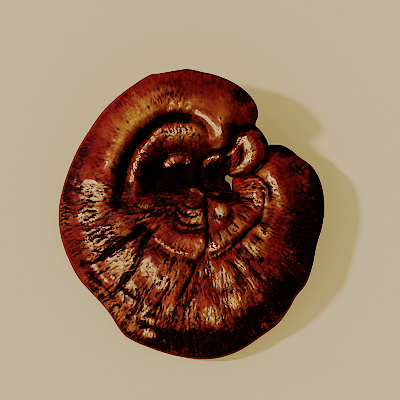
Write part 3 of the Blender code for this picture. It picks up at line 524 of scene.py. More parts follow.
def around(table, azimuth):
    """Smooth value from a table once round the cap."""
    angle, value = np.array(table, float).T
    angle = np.concatenate([angle - 360, angle, angle + 360])
    value = np.tile(value, 3)
    slope = np.gradient(value, angle)
    i = np.searchsorted(angle, azimuth, side="right") - 1
    width = angle[i + 1] - angle[i]
    t = (azimuth - angle[i]) / width
    bend = t * (t - 1) * width * ((t - 1) * slope[i] + t * slope[i + 1])
    return (1 - ease(t)) * value[i] + ease(t) * value[i + 1] + bend


def rounded(distance, height, width):
    """Rounded edge: 0 at the edge and the full height from the width inwards."""
    return height * np.sqrt(1 - (1 - np.clip(distance / width, 0, 1))**2)


def within(points, path, reach):
    """Which points are near enough to the path."""
    low, high = path.min(axis=0) - reach, path.max(axis=0) + reach
    return np.flatnonzero(np.all((points > low) & (points < high), axis=1))


def relief(points, lines, hollows):
    """Height of the ridges, grooves and hollows, and how deep in a groove it is, which is painted as shade.
    """
    height, groove = np.zeros((2, len(points)))
    for rise, left, right, fade_in, fade_out, path in lines.values():
        path = curve(path, 5)
        near = within(points, path, 2.7 * max(left, right))
        distance, side, share = measure(points[near], path, False)
        part = np.exp(-(distance / np.where(side > 0, left, right))**2)
        if fade_in:
            part *= ease(share / fade_in)
        if fade_out:
            part *= ease((1 - share) / fade_out)
        height[near] += rise * part
        if rise < 0:
            cut = ease((-rise / max(left, right) - 0.2) / 0.7)
            groove[near] = np.maximum(groove[near], part**(1.6 if cut < 1 else 2.6) * cut)
    for depth, wall, outline in hollows.values():
        height -= depth * ease(depth_inside(points, curve(outline, 4, True)) / wall)
    return height, groove


def survey(points):
    """The points and their distances in from the margin and the notch."""
    from_notch = np.where(is_inside(points, NOTCH_LOOP), 0, measure(points, NOTCH_LOOP)[0])
    return points, depth_inside(points, CAP_LOOP), from_notch


def cap_margin(place):
    """Height of the margin plane and slope of the top."""
    points, distance, _ = place
    azimuth, _ = polar(points, CAP_CENTRE)
    outer = 1 - ease(distance / MARGIN_REACH)
    plane = PLANE_HEIGHT + points @ PLANE_TILT
    middle = around(MARGIN_HEIGHTS, azimuth) * outer**2 + plane * (1 - outer**2)
    return middle, around(MARGIN_SLOPES, azimuth) * outer + INNER_SLOPE * (1 - outer)


def cap_top(place, shaped):
    """Height of the cap's top, with its edges rounded off."""
    points, distance, from_notch = place
    x, y = points.T
    middle, slope = cap_margin(place)
    height = middle + rounded(distance, *ROLL) + shaped
    height += slope * SLOPE_REACH * (1 - np.exp(-1.15 * distance / SLOPE_REACH))
    low = NOTCH_EDGE_HEIGHT + NOTCH_EDGE_RISE * ease((y - 26) / 16) + NOTCH_EDGE_HALF
    low -= NOTCH_EDGE_DIP * ease((20 - y) / 8) * ease((24 - x) / 6)
    rolled = low + (height - low) * (1 - np.exp(-from_notch / NOTCH_ROLL_WIDTH))
    rolled -= NOTCH_EDGE_HALF - rounded(from_notch, NOTCH_EDGE_HALF, EDGE_ROUND)
    return np.where(height > low, rolled, height)


def join_stem(points, under):
    """Brings an underside down to the collar on the stem."""
    share = polar((points - STEM_CENTRE) / STEM_RADII)[1]
    outside = np.maximum((share - COLLAR_SPREAD) * np.mean(STEM_RADII), 0)
    collar = np.exp(-(outside / COLLAR_WIDTH)**2)
    return under * (1 - collar) + COLLAR_HEIGHT * collar


def cap_under(place, top):
    """Height of the cap's underside, an arch that keeps clear of the top."""
    points, distance, from_notch = place
    height = cap_margin(place)[0] - rounded(distance, *UNDER_ROLL)
    arch = UNDER_ARCH - UNDER_ARCH_TILT * np.clip(points[:, 1] / 40, -1, 1)
    height += arch * ease(distance / UNDER_ARCH_REACH)
    near_edge = np.exp(-from_notch / NOTCH_ROLL_WIDTH)
    thick = LEAST_THICKNESS * (1 - near_edge) + NOTCH_EDGE_HALF * near_edge
    thick *= np.minimum(distance / ROLL[1], 1) * rounded(from_notch, 1, EDGE_ROUND)
    return np.maximum(np.minimum(join_stem(points, height), top - thick), 0)


def small_cap_form(points):
    """Heights of the small cap's top and underside, and its grooves, whose depth is painted as shade."""
    distance = depth_inside(points, SMALL_CAP_LOOP)
    run = (points - SMALL_CLIMB_FROM).sum(axis=1)
    middle = SMALL_BASE_HEIGHT + SMALL_CLIMB * ease(run / SMALL_CLIMB_LENGTH)
    half = rounded(distance, *SMALL_ROLL) + rounded(distance, SMALL_EDGE_HALF, EDGE_ROUND)
    shaped, groove = relief(points, SMALL_CAP_RELIEF, SMALL_CAP_HOLLOWS)
    top = middle + half + SMALL_RISE * (1 - np.exp(-distance / SMALL_RISE_REACH))
    top += shaped * np.minimum(distance / SMALL_ROLL[1], 1)
    under = middle - half - SMALL_UNDER_DEPTH * ease(distance / SMALL_RISE_REACH)
    return top, join_stem(points, under), groove


def small_top(points):
    """Height of the small cap's top without its fine detail."""
    return small_cap_form(points)[0]


def scatter(ix, iy, seed):
    """Repeatable number from 0 to 1 for each corner."""
    n = (ix * 374761393 + iy * 668265263 + seed * 974634777) & 0x7FFFFFFF
    n = ((n ^ (n >> 13)) * 1274126177) & 0x7FFFFFFF
    n = ((n ^ (n >> 15)) * 1103515245) & 0x7FFFFFFF
    return (n ^ (n >> 16)) / 0x7FFFFFFF


def ripple(points, seed):
    """Smooth noise between about -1 and 1, one wave to a unit."""
    cell = np.floor(points).astype(np.int64)
    part = points - cell
    weight = part**3 * (part * (part * 6 - 15) + 10)
    value = np.zeros(len(points))
    for corner in np.ndindex(2, 2):
        turn = scatter(*(cell + corner).T, seed) * 2 * math.pi
        x, y = (part - corner).T
        value += (np.cos(turn) * x + np.sin(turn) * y) * np.where(corner, weight, 1 - weight).prod(axis=1)
    return value * 1.5


def pits(points, seed):
    """Depth share of small round pits, at most one to a unit."""
    cell = np.floor(points).astype(np.int64)
    deepest = np.zeros(len(points))
    for step in np.ndindex(3, 3):
        corner = cell + step - 1
        middle = corner + 0.2 + 0.6 * pair(scatter(*corner.T, seed), scatter(*corner.T, seed + 1))
        near = np.exp(-((points - middle)**2).sum(axis=1) / 0.05)
        deepest = np.maximum(deepest, near * (scatter(*corner.T, seed + 2) > 0.55))
    return deepest


def zones(points, table):
    """Strongest of the soft oval zones at each point."""
    strongest = np.zeros(len(points))
    for x, y, long, short, turn, strength in table:
        azimuth, reach = polar(points, (x, y))
        off = np.radians(azimuth - turn)
        share = reach * np.hypot(np.cos(off) / long, np.sin(off) / short)
        strongest = np.maximum(strongest, strength * np.exp(-share**3))
    return strongest


def growth(points):
    """Angle of growth, distance from where it starts, and ring number from 0 to 1."""
    azimuth, _ = polar(points, (0, 12))
    upper = ease((azimuth - 60) / 40) * ease((185 - azimuth) / 40)
    centre = FOLD_CENTRE + upper[:, None] * (UPPER_FOLD_CENTRE - FOLD_CENTRE)
    direction, reach = polar(points - centre)
    ring_azimuth, from_ring = polar(points, RING_CENTRE)
    margin = np.interp(ring_azimuth, *polar(CAP_LOOP, RING_CENTRE), period=360)
    return np.radians((direction - 45) % 360), reach, from_ring / margin


def folds(angle, reach, width, length, seed):
    """Folds that run outwards and split as they spread, at an even spacing."""
    level = np.log2(np.maximum(reach, 3) / 3)
    lower = np.floor(level)
    blend = ease((level - lower) * 1.4 - 0.2)
    value = np.zeros(len(angle))
    for step, share in ((lower, 1 - blend), (lower + 1, blend)):
        value += share * ripple(pair(angle * 3 / width * 2**step, reach / length + step * 7.3), seed)
    return value


def cap_form(points):
    """Height of the cap's top without its fine detail."""
    return cap_top(survey(points), relief(points, CAP_RELIEF, CAP_HOLLOWS)[0])


def facing(slope, low=GLOSS_AZIMUTHS[0], high=GLOSS_AZIMUTHS[1]):
    """Slope nearest to the given one that mirrors the panels upwards."""
    azimuth, steep = polar(-slope)
    middle, half = (low + high) / 2, (high - low) / 2
    turned = np.radians(middle + np.clip((azimuth - middle + 180) % 360 - 180, -half, half))
    steep = np.clip(steep, *np.tan(np.radians(GLOSS_TILTS)))
    return -steep[:, None] * pair(np.cos(turned), np.sin(turned))


def form_slope(form, points, reach):
    """Height and slope of the smooth form at each point."""
    steps = reach * np.array([(0, 0), (1, 0), (-1, 0), (0, 1), (0, -1)])
    height = form((points + steps[:, None]).reshape(-1, 2)).reshape(5, -1)
    return height.mean(axis=0), pair(height[1] - height[2], height[3] - height[4]) / (2 * reach)


def shape_facets(points, height, form, patches, lines):
    """Levels each glossy patch and line into a facet that catches the light."""
    height = height.copy()
    centres = np.array(patches, float)[:, :2]
    level, slope = form_slope(form, centres, 1.5)
    for zone, centre, at, tilt in zip(patches, centres, level, facing(slope)):
        height += FACET_SHARE * zones(points, [zone]) * (at + (points - centre) @ tilt - height)
    for path, width, *azimuths in lines:
        path = curve(path, 6)
        level, slope = form_slope(form, path, 0.8)
        near = within(points, path, 2 * width)
        offset = points[near][:, None] - path
        nearest = np.linalg.norm(offset, axis=2).argmin(axis=1)
        offset = offset[np.arange(len(near)), nearest]
        plane = level[nearest] + (offset * facing(slope, *azimuths)[nearest]).sum(axis=1)
        weight = np.exp(-((offset**2).sum(axis=1) / width**2)**1.5)
        height[near] += weight * (plane - height[near])
    return height


def line_marks(points, lines):
    """Strongest of the soft lines at each point."""
    strongest = np.zeros(len(points))
    for path, width, *_ in lines:
        path = curve(path, 4)
        near = within(points, path, 2.5 * width)
        mark = np.exp(-(measure(points[near], path, False)[0] / width)**2)
        strongest[near] = np.maximum(strongest[near], mark)
    return strongest


def cap_detail(place, shine, line):
    """Fine relief of the crust in millimetres, how light its colour is, and where its folds run. The colour
    follows the relief as painted light and shade, lighter on swells and crests and darker in creases, with
    some random variation of its own.
    """
    points, distance, _ = place
    angle, reach, ring = growth(points)
    strength = 0.22 + 0.78 * zones(points, WRINKLE_ZONES)
    crumple = zones(points, CRUMPLE_ZONES)
    warp = ripple(points / 8, 11)
    bent = angle + (1.6 * warp + 0.35 * ripple(points / 3, 13)) / np.maximum(reach, 5)
    swell, fold, fine = (folds(bent, reach, *wave) for wave in FOLD_WAVES)
    crease = np.exp(-(fold / 0.15)**2)
    hairline = np.exp(-(fine / 0.2)**2)
    crinkle = ripple(points / 1.6, 17)
    dent = ripple(points / 1.25, 19)
    rings = ripple(pair(distance / 1.5 + 0.6 * warp, angle * 5), 23)
    bands = ripple(pair(ring * 13 + 0.5 * warp, angle * 1.6), 29)
    calm = 1 - np.maximum(0.6 * shine, 0.85 * line)
    height = strength * (0.45 * calm * swell - 0.3 * crease - 0.12 * hairline + 0.06 * (fine + crinkle))
    lump = 0.36 * ripple(points / 6, 31) - 0.25 * pits(points / PIT_SPACING, 41)
    height += 0.05 * rings + calm * (0.42 * bands + strength * lump)
    height += 0.28 * crumple * (dent + 0.6 * crinkle)
    # Painted light and shade: the colour is lighter on the swells, bands and crests and darker in the creases
    # and hairlines, like the relief
    tone_with_painted_light = 0.66 + strength * (0.5 * swell - 0.5 * crease - 0.14 * hairline + 0.22 * fine)
    tone_with_painted_light += 0.32 * bands + 0.10 * rings + 0.15 * crinkle + 0.5 * crumple * dent
    tone_with_painted_light += 0.35 * zones(points, PALE_AND_PAINTED_HIGHLIGHT_ZONES) - 0.3 * zones(points, DULL_AND_PAINTED_SHADE_ZONES)
    # Painted highlight: lighter along the lines of gloss
    tone_with_painted_light += 0.7 * line * (0.85 - tone_with_painted_light)
    return height, np.clip(tone_with_painted_light, 0, 1), strength, angle, reach


def terrace_creases():
    """Short creases that run outwards across the terrace."""
    creases = {}
    for turn in np.radians(TERRACE_FOLDS):
        out = np.array([math.cos(turn), math.sin(turn)])
        creases[turn] = (*TERRACE_CREASE, [FOLD_CENTRE + reach * out for reach in TERRACE_REACH])
    return creases


def hold_below(height, limit):
    """Levels the height off softly below the limit."""
    over = np.maximum(height - limit + 0.5, 0)
    return np.where(over > 0, limit - 0.5 * np.exp(-over / 0.5), height)


def cap_surfaces(points):
    """Heights of the cap's two sides, and the marks for its material."""
    place = survey(points)
    inside = np.minimum(*place[1:])
    shaped, groove = relief(points, CAP_RELIEF, CAP_HOLLOWS)
    finer, fine_groove = relief(points, {**CAP_CREASES, **terrace_creases()}, {})
    line = line_marks(points, GLOSS_LINES)
    patch = zones(points, GLOSS_ZONES)
    shine = np.maximum(patch, line)
    height, tone_with_painted_light, strength, angle, reach = cap_detail(place, shine, line)
    top = cap_top(place, shaped)
    under = cap_under(place, top)
    level = shape_facets(points, top, cap_form, GLOSS_ZONES, GLOSS_LINES)
    top = hold_below(top + (level - top + height + finer) * ease((inside - INSET) / EDGE_FADE), HIGHEST)
    # The depth of the grooves is painted as shade, less so along the lines of gloss
    groove = np.maximum(groove, fine_groove) * (1 - 0.8 * line)
    azimuth, _ = polar(points)
    rim = ease((azimuth - 100) / 30) * ease((345 - azimuth) / 20)
    rim *= np.exp(-((place[1] - RIM_INSET) / RIM_WIDTH)**2)
    # Marks for the material: fold and groove carry painted light and shade; the dark mark is pigment with
    # painted shade; the ochre mark is pigment, lightened on the glossy patches as a painted highlight
    marks = {
        "fold": tone_with_painted_light, "groove": ease((groove + 0.6 * (0.52 - tone_with_painted_light) - 0.15) / 0.55),
        "ochre_and_painted_highlight": np.maximum(zones(points, OCHRE_ZONES), 0.5 * shine),
        "dark_and_painted_shade": zones(points, DARK_AND_SHADE_ZONES) - 1.6 * np.maximum(line, ease((patch - 0.5) / 0.5)),
        "red": zones(points, RED_ZONES), "rim": rim, "gloss": shine, "satin": zones(points, SATIN_ZONES),
        "wrinkle": strength, "across": angle * 30, "along": reach, "inside": inside}
    return top, under, marks


def small_surfaces(points):
    """Heights of the small cap's two sides, and the marks for its material."""
    top, under, groove = small_cap_form(points)
    distance = depth_inside(points, SMALL_CAP_LOOP)
    crinkle = ripple(points / 1.5, 51)
    swell = ripple(points / 3.6, 53)
    crease = np.exp(-(ripple(points / 2.4, 57) / 0.14)**2)
    level = shape_facets(points, top, small_top, SMALL_GLOSS_ZONES, SMALL_GLOSS_LINES)
    top = top + (level - top + 0.05 * crinkle + 0.12 * swell - 0.05 * crease) * ease(distance / 2)
    line = line_marks(points, SMALL_GLOSS_LINES)
    azimuth, reach = polar(points, SMALL_CLIMB_FROM)
    none = np.zeros(len(points))
    # Painted light and shade: the fold mark is darker in the creases and lighter along the lines of gloss,
    # the ochre mark is lightened along them as a painted highlight, and the dark mark is painted shade
    marks = {
        "fold": np.clip(0.74 + 0.25 * swell - 0.25 * crease + 0.1 * crinkle + 0.2 * line, 0, 1),
        "groove": groove, "ochre_and_painted_highlight": np.maximum(zones(points, SMALL_OCHRE_ZONES), 0.5 * line),
        "dark_and_painted_shade": zones(points, SMALL_DARK_AND_SHADE_ZONES) - line, "red": zones(points, SMALL_RED_ZONES), "rim": none,
        "gloss": np.maximum(zones(points, SMALL_GLOSS_ZONES), line), "satin": none,
        "wrinkle": 0.6 - 0.4 * line, "across": 30 * np.radians((azimuth + 180) % 360 - 180),
        "along": reach, "inside": distance}
    return top, under, marks


def resample(loop, step):
    """Points at even steps along a closed loop."""
    closed = np.vstack([loop, loop[:1]])
    along = np.concatenate([[0], np.cumsum(np.linalg.norm(np.diff(closed, axis=0), axis=1))])
    at = np.linspace(0, along[-1], int(round(along[-1] / step)), endpoint=False)
    return pair(*(np.interp(at, along, values) for values in closed.T))


def inset(loop, distance):
    """Loop moved inwards."""
    along = np.roll(loop, -1, axis=0) - np.roll(loop, 1, axis=0)
    along /= np.linalg.norm(along, axis=1)[:, None]
    return loop + distance * pair(-along[:, 1], along[:, 0])


def kept_run(points, keep):
    """The unbroken run of kept points of a closed loop."""
    start = np.flatnonzero(keep & ~np.roll(keep, 1))[0]
    return np.roll(points, -start, axis=0)[:keep.sum()]


def fill_points(loop, spacing, rows):
    """Loop first, then rows just inside it, then an even grid in the middle."""
    coarse = loop[::2]
    layers = [loop]
    for row in rows:
        moved = inset(loop, row)
        layers.append(moved[is_inside(moved, loop) & (measure(moved, coarse)[0] > 0.85 * row)])
    low, high = loop.min(axis=0), loop.max(axis=0)
    y = np.arange(low[1], high[1], spacing * math.sqrt(3) / 2)
    grid = np.stack(np.meshgrid(np.arange(low[0], high[0], spacing), y), axis=-1)
    grid[1::2, :, 0] += spacing / 2
    grid = grid.reshape(-1, 2)
    shake = np.random.default_rng(7).uniform(-0.12, 0.12, grid.shape) * spacing
    grid = grid[is_inside(grid, loop)]
    clear = measure(grid, coarse)[0] > rows[-1] + 0.45 * spacing
    layers.append((grid + shake[:len(grid)])[clear])
    return np.concatenate(layers)


def triangles(points, count):
    """Triangles that fill the loop made by the first points."""
    edges = [(i, (i + 1) % count) for i in range(count)]
    vertices = [Vector(point) for point in points.tolist()]
    _, _, faces, origins, _, _ = delaunay_2d_cdt(vertices, edges, [], 1, 1e-5)
    return np.array([origin[0] for origin in origins])[np.array(faces)]


def add_object(name, data):
    """New object in the scene."""
    thing = bpy.data.objects.new(name, data)
    bpy.context.scene.collection.objects.link(thing)
    return thing


def add_mesh(name, points, faces):
    """New object with a mesh, placed in metres."""
    mesh = bpy.data.meshes.new(name)
    mesh.from_pydata(points, [], faces)
    return add_object(name, mesh)


def slab(name, loop, spacing, rows, under_spacing, surfaces):
    """Closed mesh between a top and an underside that share their edge."""
    edge = resample(loop, spacing)
    count = len(edge)
    over = fill_points(edge, spacing, rows)
    below = fill_points(edge, under_spacing, rows[1:])
    over_faces = triangles(over, count)
    below_faces = triangles(below, count)[:, ::-1].copy()
    below_faces[below_faces >= count] += len(over) - count
    top, _, marks = surfaces(over)
    _, under, under_marks = surfaces(below)
    points = np.vstack([np.column_stack([over, top]), np.column_stack([below, under])[count:]])
    faces = np.vstack([over_faces, below_faces])
    piece = add_mesh(f"{name}_crust", ((points - np.array([*MIDDLE, 0])) * MM).tolist(), faces.tolist())
    mesh = piece.data
    mesh.polygons.foreach_set("use_smooth", np.ones(len(faces), bool))
    for key in marks:
        marks[key] = np.concatenate([marks[key], under_marks[key][count:]])
        mesh.attributes.new(key, "FLOAT", "POINT").data.foreach_set("value", marks[key].astype(np.float32))
    pores = marks["inside"][faces].mean(axis=1) > PORES_FROM
    pores[:len(over_faces)] = False
    mesh.polygons.foreach_set("material_index", pores.astype(np.int32))
    mesh.materials.append(crust_material(f"{name}_crust"))
    mesh.materials.append(pore_material(f"{name}_pores"))
    return piece


def make_cap():
    """Large cap: crust above and round the edge, pores below."""
    margin = resample(inset(curve(CAP_OUTLINE, 8, True), INSET), CAP_SPACING)
    notch = resample(curve(NOTCH_OUTLINE, 8, True), CAP_SPACING)
    outer = kept_run(margin, ~is_inside(margin, notch))
    inner = kept_run(notch, is_inside(notch, margin))[::-1]
    return slab("cap", np.vstack([outer, inner]), CAP_SPACING, EDGE_ROWS, UNDER_SPACING, cap_surfaces)


def make_small_cap():
    """Small cap, which fills the notch except at the wedge."""
    loop = resample(curve(SMALL_CAP_OUTLINE, 8, True), SMALL_CAP_SPACING)
    wall = inset(resample(curve(NOTCH_OUTLINE, 8, True), 0.1), -OVERLAP)
    gap = np.linalg.norm(loop[:, None] - wall, axis=2)
    close = ease((SEAM_REACH + 0.5 - gap.min(axis=1)) / 0.5) * ease(depth_inside(loop, CAP_LOOP))
    close *= ease((polar(loop, WEDGE)[1] - WEDGE_REACH) / 0.6)
    loop = loop + (wall[gap.argmin(axis=1)] - loop) * close[:, None]
    return slab("small_cap", loop, SMALL_CAP_SPACING, SMALL_EDGE_ROWS, SMALL_UNDER_SPACING, small_surfaces)


class Value:
    """Output of a node, which can be added, subtracted and multiplied."""

    def __init__(self, nodes, socket):
        self.nodes = nodes
        self.socket = socket

    def __add__(self, other):
        return self.nodes.math("ADD", self, other)

    def __sub__(self, other):
        return self.nodes.math("SUBTRACT", self, other)

    def __rsub__(self, other):
        return self.nodes.math("SUBTRACT", other, self)

    def __mul__(self, other):
        return self.nodes.math("MULTIPLY", self, other)


class Nodes:
    """Short way to build a material or the world from nodes."""

    def __init__(self, owner, last="Principled BSDF"):
        owner.use_nodes = True
        self.owner = owner
        self.tree = owner.node_tree
        self.last = self.tree.nodes[last]

    def fill(self, node, inputs):
        """Gives each input a value, or links it."""
        for key, value in inputs.items():
            if isinstance(value, Value):
                self.tree.links.new(value.socket, node.inputs[key])
            else:
                node.inputs[key].default_value = value

    def finish(self, inputs):
        self.fill(self.last, inputs)
        return self.owner

    def add(self, kind, inputs, output=0, **settings):
        node = self.tree.nodes.new("ShaderNode" + kind)
        for key, value in settings.items():
            setattr(node, key, value)
        self.fill(node, inputs)
        return Value(self, node.outputs[output])

    def mark(self, name):
        """Mark that the mesh carries."""
        return self.add("Attribute", {}, "Fac", attribute_name=name)

    def position(self):
        """Place on the object in millimetres."""
        place = self.add("TexCoord", {}, "Object")
        return self.add("VectorMath", {0: place, "Scale": 1 / MM}, operation="SCALE")

    def noise(self, scale, detail=3, roughness=0.6, where=None):
        where = where or self.position()
        inputs = {"Vector": where, "Scale": scale, "Detail": detail, "Roughness": roughness}
        return self.add("TexNoise", inputs, "Fac")

    def streaks(self, scale):
        """Noise drawn out along the growth, of an even width near its centre and far from it."""
        across, along = self.mark("across"), self.mark("along")
        found = []
        for factor in (1, 2):
            where = self.add("CombineXYZ", {0: across * factor, 1: along * 0.28})
            found.append(self.noise(scale, where=where))
        return self.mix(self.spread(along, 32, 48), *found)

    def mix(self, share, a, b):
        return self.add("Mix", {0: share, 2: a, 3: b}, data_type="FLOAT")

    def blend(self, share, a, b):
        a, b = (value if isinstance(value, Value) else (*value, 1) for value in (a, b))
        return self.add("Mix", {0: share, 6: a, 7: b}, 2, data_type="RGBA")

    def math(self, operation, a, b=0):
        return self.add("Math", {0: a, 1: b}, operation=operation)

    def spread(self, value, low, high, to_low=0, to_high=1):
        """Smooth change from one value to another."""
        inputs = {"Value": value, "From Min": low, "From Max": high, "To Min": to_low, "To Max": to_high}
        return self.add("MapRange", inputs, "Result", interpolation_type="SMOOTHSTEP")

    def bump(self, height, distance, strength):
        return self.add("Bump", {"Height": height, "Distance": distance * MM, "Strength": strength}, "Normal")


def crust_material(name):
    """Lacquered red-brown crust. Ochre bands are partly pigment and partly painted highlight on the crests
    and glossy patches; the creases and hollows are painted shade, and the near-black margin is partly pigment
    and partly painted shade.
    """
    m = Nodes(bpy.data.materials.new(name))
    wrinkle, satin = m.mark("wrinkle"), m.mark("satin")
    middle = m.noise(0.5)
    grain = m.noise(1.5, 2)
    grainy = m.spread(grain, 0.3, 0.7, -1, 1)
    streak = m.streaks(1.1)
    patch = m.streaks(0.22)
    vein = m.spread(m.streaks(0.4), 0.48, 0.64)
    hair = m.spread(m.math("ABSOLUTE", m.streaks(0.8) - 0.5), 0, 0.036, 1, 0) * wrinkle
    fold = m.mark("fold") + m.spread(streak, 0.3, 0.7, -0.22, 0.22)
    fold += grainy * m.spread(satin, 0.1, 0.9, 0.16, 0.04)
    # Painted shade: the grooves and the hairline creases darken the colour
    fold = fold - m.mark("groove") * 0.8 - hair * 0.3
    # Painted shade at the bottoms of the creases, in the blackest reds
    colour = m.blend(m.spread(fold, -0.5, 0.1), BLOOD_BLACK, DEEP_RED)
    colour = m.blend(m.spread(fold, 0.05, 0.45), colour, m.blend(vein, CRIMSON, RED_BROWN))
    colour = m.blend(m.spread(fold, 0.45, 0.8), colour, RED_BROWN)
    # Painted light: the crests and the lines of gloss get the brightest reds
    bright = m.spread(fold, 0.45, 0.95) * m.spread(patch, 0.3, 0.6)
    colour = m.blend(bright, colour, m.blend(vein, SCARLET, TAWNY))
    red = m.mark("red") * m.spread(m.noise(0.16, 3, 0.5), 0.2, 0.6, 0.6, 1)
    colour = m.blend(red, colour, m.blend(m.spread(fold, 0, 0.6), DEEP_RED, CRIMSON))
    # Ochre is pigment, and partly a painted highlight on the glossy patches
    ochre_and_painted_highlight = m.mark("ochre_and_painted_highlight") * m.spread(fold, 0.1, 0.7) * m.spread(patch, 0.35, 0.6, 0.25, 1)
    colour = m.blend(ochre_and_painted_highlight, colour, m.blend(m.spread(middle, 0.45, 0.75), OCHRE, PALE_OCHRE))
    # Near-black pigment on the margins, and painted shade in the bowl, the ring valley, the hollows and the
    # creases
    dark_and_painted_shade = m.mark("dark_and_painted_shade") + m.spread(middle, 0.3, 0.7, -0.25, 0.25)
    dark_and_painted_shade = dark_and_painted_shade + m.spread(m.streaks(0.3), 0.3, 0.7, -0.2, 0.2) + grainy * 0.22
    dark_and_painted_shade = m.spread(dark_and_painted_shade, 0.3, 0.8, 0, 0.97) * m.spread(m.mark("dark_and_painted_shade"), 0.02, 0.2)
    colour = m.blend(dark_and_painted_shade, colour, m.blend(m.spread(m.streaks(0.9), 0.5, 0.78), PURPLE_BLACK, MAROON))
    colour = m.blend(m.mark("rim"), colour, m.blend(grain, RED_BROWN, RIM_TAN))
    rough = m.mix(dark_and_painted_shade, m.mix(satin, m.spread(grain, 0.3, 0.7, 0.55, 0.65), 0.75), 0.95)
    gloss = m.mark("gloss") + m.spread(patch, 0.35, 0.65, -0.2, 0.2)
    lacquer = m.spread(gloss, 0.1, 0.6) * m.spread(fold, 0.2, 0.55)
    glint = m.spread(m.streaks(0.7), 0.56, 0.66) * wrinkle * m.spread(satin, 0.2, 0.8, 0.36, 0)
    lacquer = m.math("MAXIMUM", lacquer, glint * m.spread(fold, 0.2, 0.6)) * (1 - hair * 0.8)
    lacquer *= m.mix(wrinkle, 1, m.spread(m.streaks(0.85), 0.36, 0.56, 0.2, 1))
    lacquer *= 1 - dark_and_painted_shade
    lacquer += m.spread(m.streaks(0.75), 0.6, 0.72, 0, 0.5) * dark_and_painted_shade * wrinkle
    crackle = m.noise(0.9, 3, 0.65) + streak * 1.3 - hair * 0.5
    normal = m.bump(crackle * (wrinkle * (1 - dark_and_painted_shade * 0.8)), 0.07, 1)
    return m.finish({
        "Base Color": colour, "Roughness": rough, "Specular IOR Level": 0.12, "Normal": normal,
        "Coat Weight": lacquer, "Coat Roughness": 0.25, "Coat IOR": 1.6, "Coat Normal": normal})


def pore_material(name):
    """Underside with fine pores, yellow towards the margin."""
    m = Nodes(bpy.data.materials.new(name))
    pore = m.add("TexVoronoi", {"Vector": m.position(), "Scale": 2.6}, "Distance", feature="F1")
    hole = m.spread(pore, 0.1, 0.42)
    colour = m.blend(m.spread(m.noise(0.1, 4), 0.35, 0.65), PORE_YELLOW, PORE_CREAM)
    colour = m.blend(m.spread(m.noise(0.5), 0.6, 0.8, 0, 0.5), colour, CUT_TAN)
    # Painted shade in the pores' holes
    colour = m.blend(m.spread(hole, 0, 1, 0.35, 0), colour, PORE_SHADE)
    edge = m.mark("inside") + m.spread(m.noise(0.6), 0.3, 0.7, -0.6, 0.6)
    colour = m.blend(m.spread(edge, 2.4, 4.4), BARK, colour)
    return m.finish({"Base Color": colour, "Roughness": 0.8, "Normal": m.bump(hole, 0.2, 0.7)})


def stem_material(name):
    """Dark bark on the stem's side and pale flesh on its cut face."""
    m = Nodes(bpy.data.materials.new(name))
    middle = m.noise(0.4, 4)
    grain = m.noise(1.6)
    bark = m.blend(m.spread(middle, 0.3, 0.7), PURPLE_BLACK, BARK)
    bark = m.blend(m.spread(grain, 0.5, 0.75, 0, 0.5), bark, RED_BROWN)
    flesh = m.blend(m.spread(grain, 0.3, 0.7), CUT_BROWN, CUT_TAN)
    flesh = m.blend(m.spread(middle, 0.5, 0.7, 0, 0.6), flesh, PORE_CREAM)
    facing_up = m.add("SeparateXYZ", {0: m.add("NewGeometry", {}, "True Normal")}, "Z")
    cut = m.spread(facing_up, -0.95, -0.85, 1, 0)
    return m.finish({
        "Base Color": m.blend(cut, bark, flesh), "Normal": m.bump(middle + grain * 0.5, 0.5, 0.8),
        "Roughness": m.mix(cut, m.spread(grain, 0.3, 0.7, 0.3, 0.5), 0.85)})


def make_stem_looks():
    """The stem keeps its solid and gets a better material."""
    looks = stem_material("stem")
    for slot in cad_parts["stem"].material_slots:
        slot.material = looks


def make_floor():
    """Plain pale ground with a little light of its own."""
    corners = [(x * FLOOR_HALF, y * FLOOR_HALF, 0) for x, y in ((-1, -1), (1, -1), (1, 1), (-1, 1))]
    ground = add_mesh("ground", corners, [(0, 1, 2, 3)])
    m = Nodes(bpy.data.materials.new("ground"))
    ground.data.materials.append(m.finish({
        "Base Color": m.blend(m.noise(0.01, 3, 0.5), *FLOOR_COLOURS), "Roughness": 0.8,
        "Specular IOR Level": 0.1,
        "Emission Color": (*FLOOR_GLOW, 1), "Emission Strength": FLOOR_GLOW_STRENGTH}))


def add_lamp(name, kind, out, distance, **settings):
    """Lamp that shines at the middle from the given direction."""
    light = bpy.data.lights.new(name, kind)
    for key, value in settings.items():
        setattr(light, key, value)
    lamp = add_object(name, light)
    lamp.location = out * distance
    lamp.rotation_euler = out.to_track_quat("Z", "Y").to_euler()
    return lamp


def make_lights():
    """Soft key light from low on the left, and a warm even fill."""
    add_lamp("key", "SUN", Vector(KEY_FROM), 0, energy=KEY_POWER, angle=KEY_ANGLE, color=KEY_COLOUR)
    rise = math.radians(PANEL_ELEVATION)
    for azimuth, power in GLOSS_PANELS:
        turn = math.radians(azimuth)
        out = Vector((math.cos(turn) * math.cos(rise), math.sin(turn) * math.cos(rise), math.sin(rise)))
        panel = add_lamp(
            "panel", "AREA", out, PANEL_DISTANCE, size=PANEL_SIZE, energy=power, color=PANEL_COLOUR)
        panel.visible_diffuse = False
    w = Nodes(bpy.data.worlds.new("studio"), "Background")
    up = w.add("SeparateXYZ", {0: w.add("TexCoord", {}, "Generated")}, "Z")
    bounds = {
        "From Min": FILL_CHANGE[0], "From Max": FILL_CHANGE[1], "To Min": FILL_LOW, "To Max": FILL_OVERHEAD}
    strength = w.add("MapRange", {"Value": up, **bounds}, "Result")
    bpy.context.scene.world = w.finish({"Color": (*FILL_COLOUR, 1), "Strength": strength})


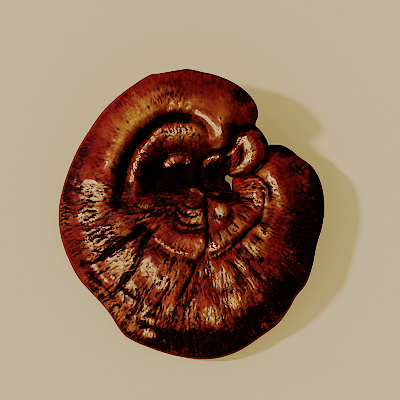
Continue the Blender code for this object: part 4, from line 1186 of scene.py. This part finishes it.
def make_camera():
    """Straight down, with the photograph's scale and framing."""
    data = bpy.data.cameras.new("camera")
    data.sensor_width = 36
    data.lens = data.sensor_width * (CAMERA_HEIGHT - SHARP_HEIGHT) / (PHOTO_SIZE * PIXEL)
    data.clip_end = 10
    view = add_object("camera", data)
    x, y = ((PHOTO_SIZE / 2 - MIDDLE_PIXEL[0]) * PIXEL, (MIDDLE_PIXEL[1] - PHOTO_SIZE / 2) * PIXEL)
    view.location = (x - MIDDLE[0] * MM, y - MIDDLE[1] * MM, CAMERA_HEIGHT)
    bpy.context.scene.camera = view


def set_tone():
    """Contrasty print, with highlights that level off at a warm cream."""
    settings = bpy.context.scene.view_settings
    settings.view_transform = "Standard"
    settings.use_curve_mapping = True
    mapping = settings.curve_mapping
    mapping.white_level = (TONE_WHITE, TONE_WHITE, TONE_WHITE)
    for channel, points in zip((3, 0, 1, 2), (TONE_CURVE, *CHANNEL_CURVES)):
        curve_points = mapping.curves[channel].points
        curve_points[0].location = points[0]
        curve_points[1].location = points[-1]
        for x, y in points[1:-1]:
            curve_points.new(x, y)
    mapping.update()


def sharpen():
    """Slight sharpening of the print."""
    scene = bpy.context.scene
    scene.use_nodes = True
    nodes = scene.node_tree.nodes
    nodes.clear()
    crisp = nodes.new("CompositorNodeFilter")
    crisp.filter_type = "SHARPEN_DIAMOND"
    crisp.inputs["Fac"].default_value = SHARPEN
    layers, result = nodes.new("CompositorNodeRLayers"), nodes.new("CompositorNodeComposite")
    scene.node_tree.links.new(layers.outputs["Image"], crisp.inputs["Image"])
    scene.node_tree.links.new(crisp.outputs["Image"], result.inputs["Image"])


CAP_LOOP = curve(CAP_OUTLINE, 4, True)
NOTCH_LOOP = curve(NOTCH_OUTLINE, 3, True)
SMALL_CAP_LOOP = curve(SMALL_CAP_OUTLINE, 3, True)

make_camera()
make_lights()
make_floor()
make_stem_looks()
for piece, node in ((make_cap(), "cap"), (make_small_cap(), "small_cap")):
    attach(piece, "root")
    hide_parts(node)
set_tone()
sharpen()
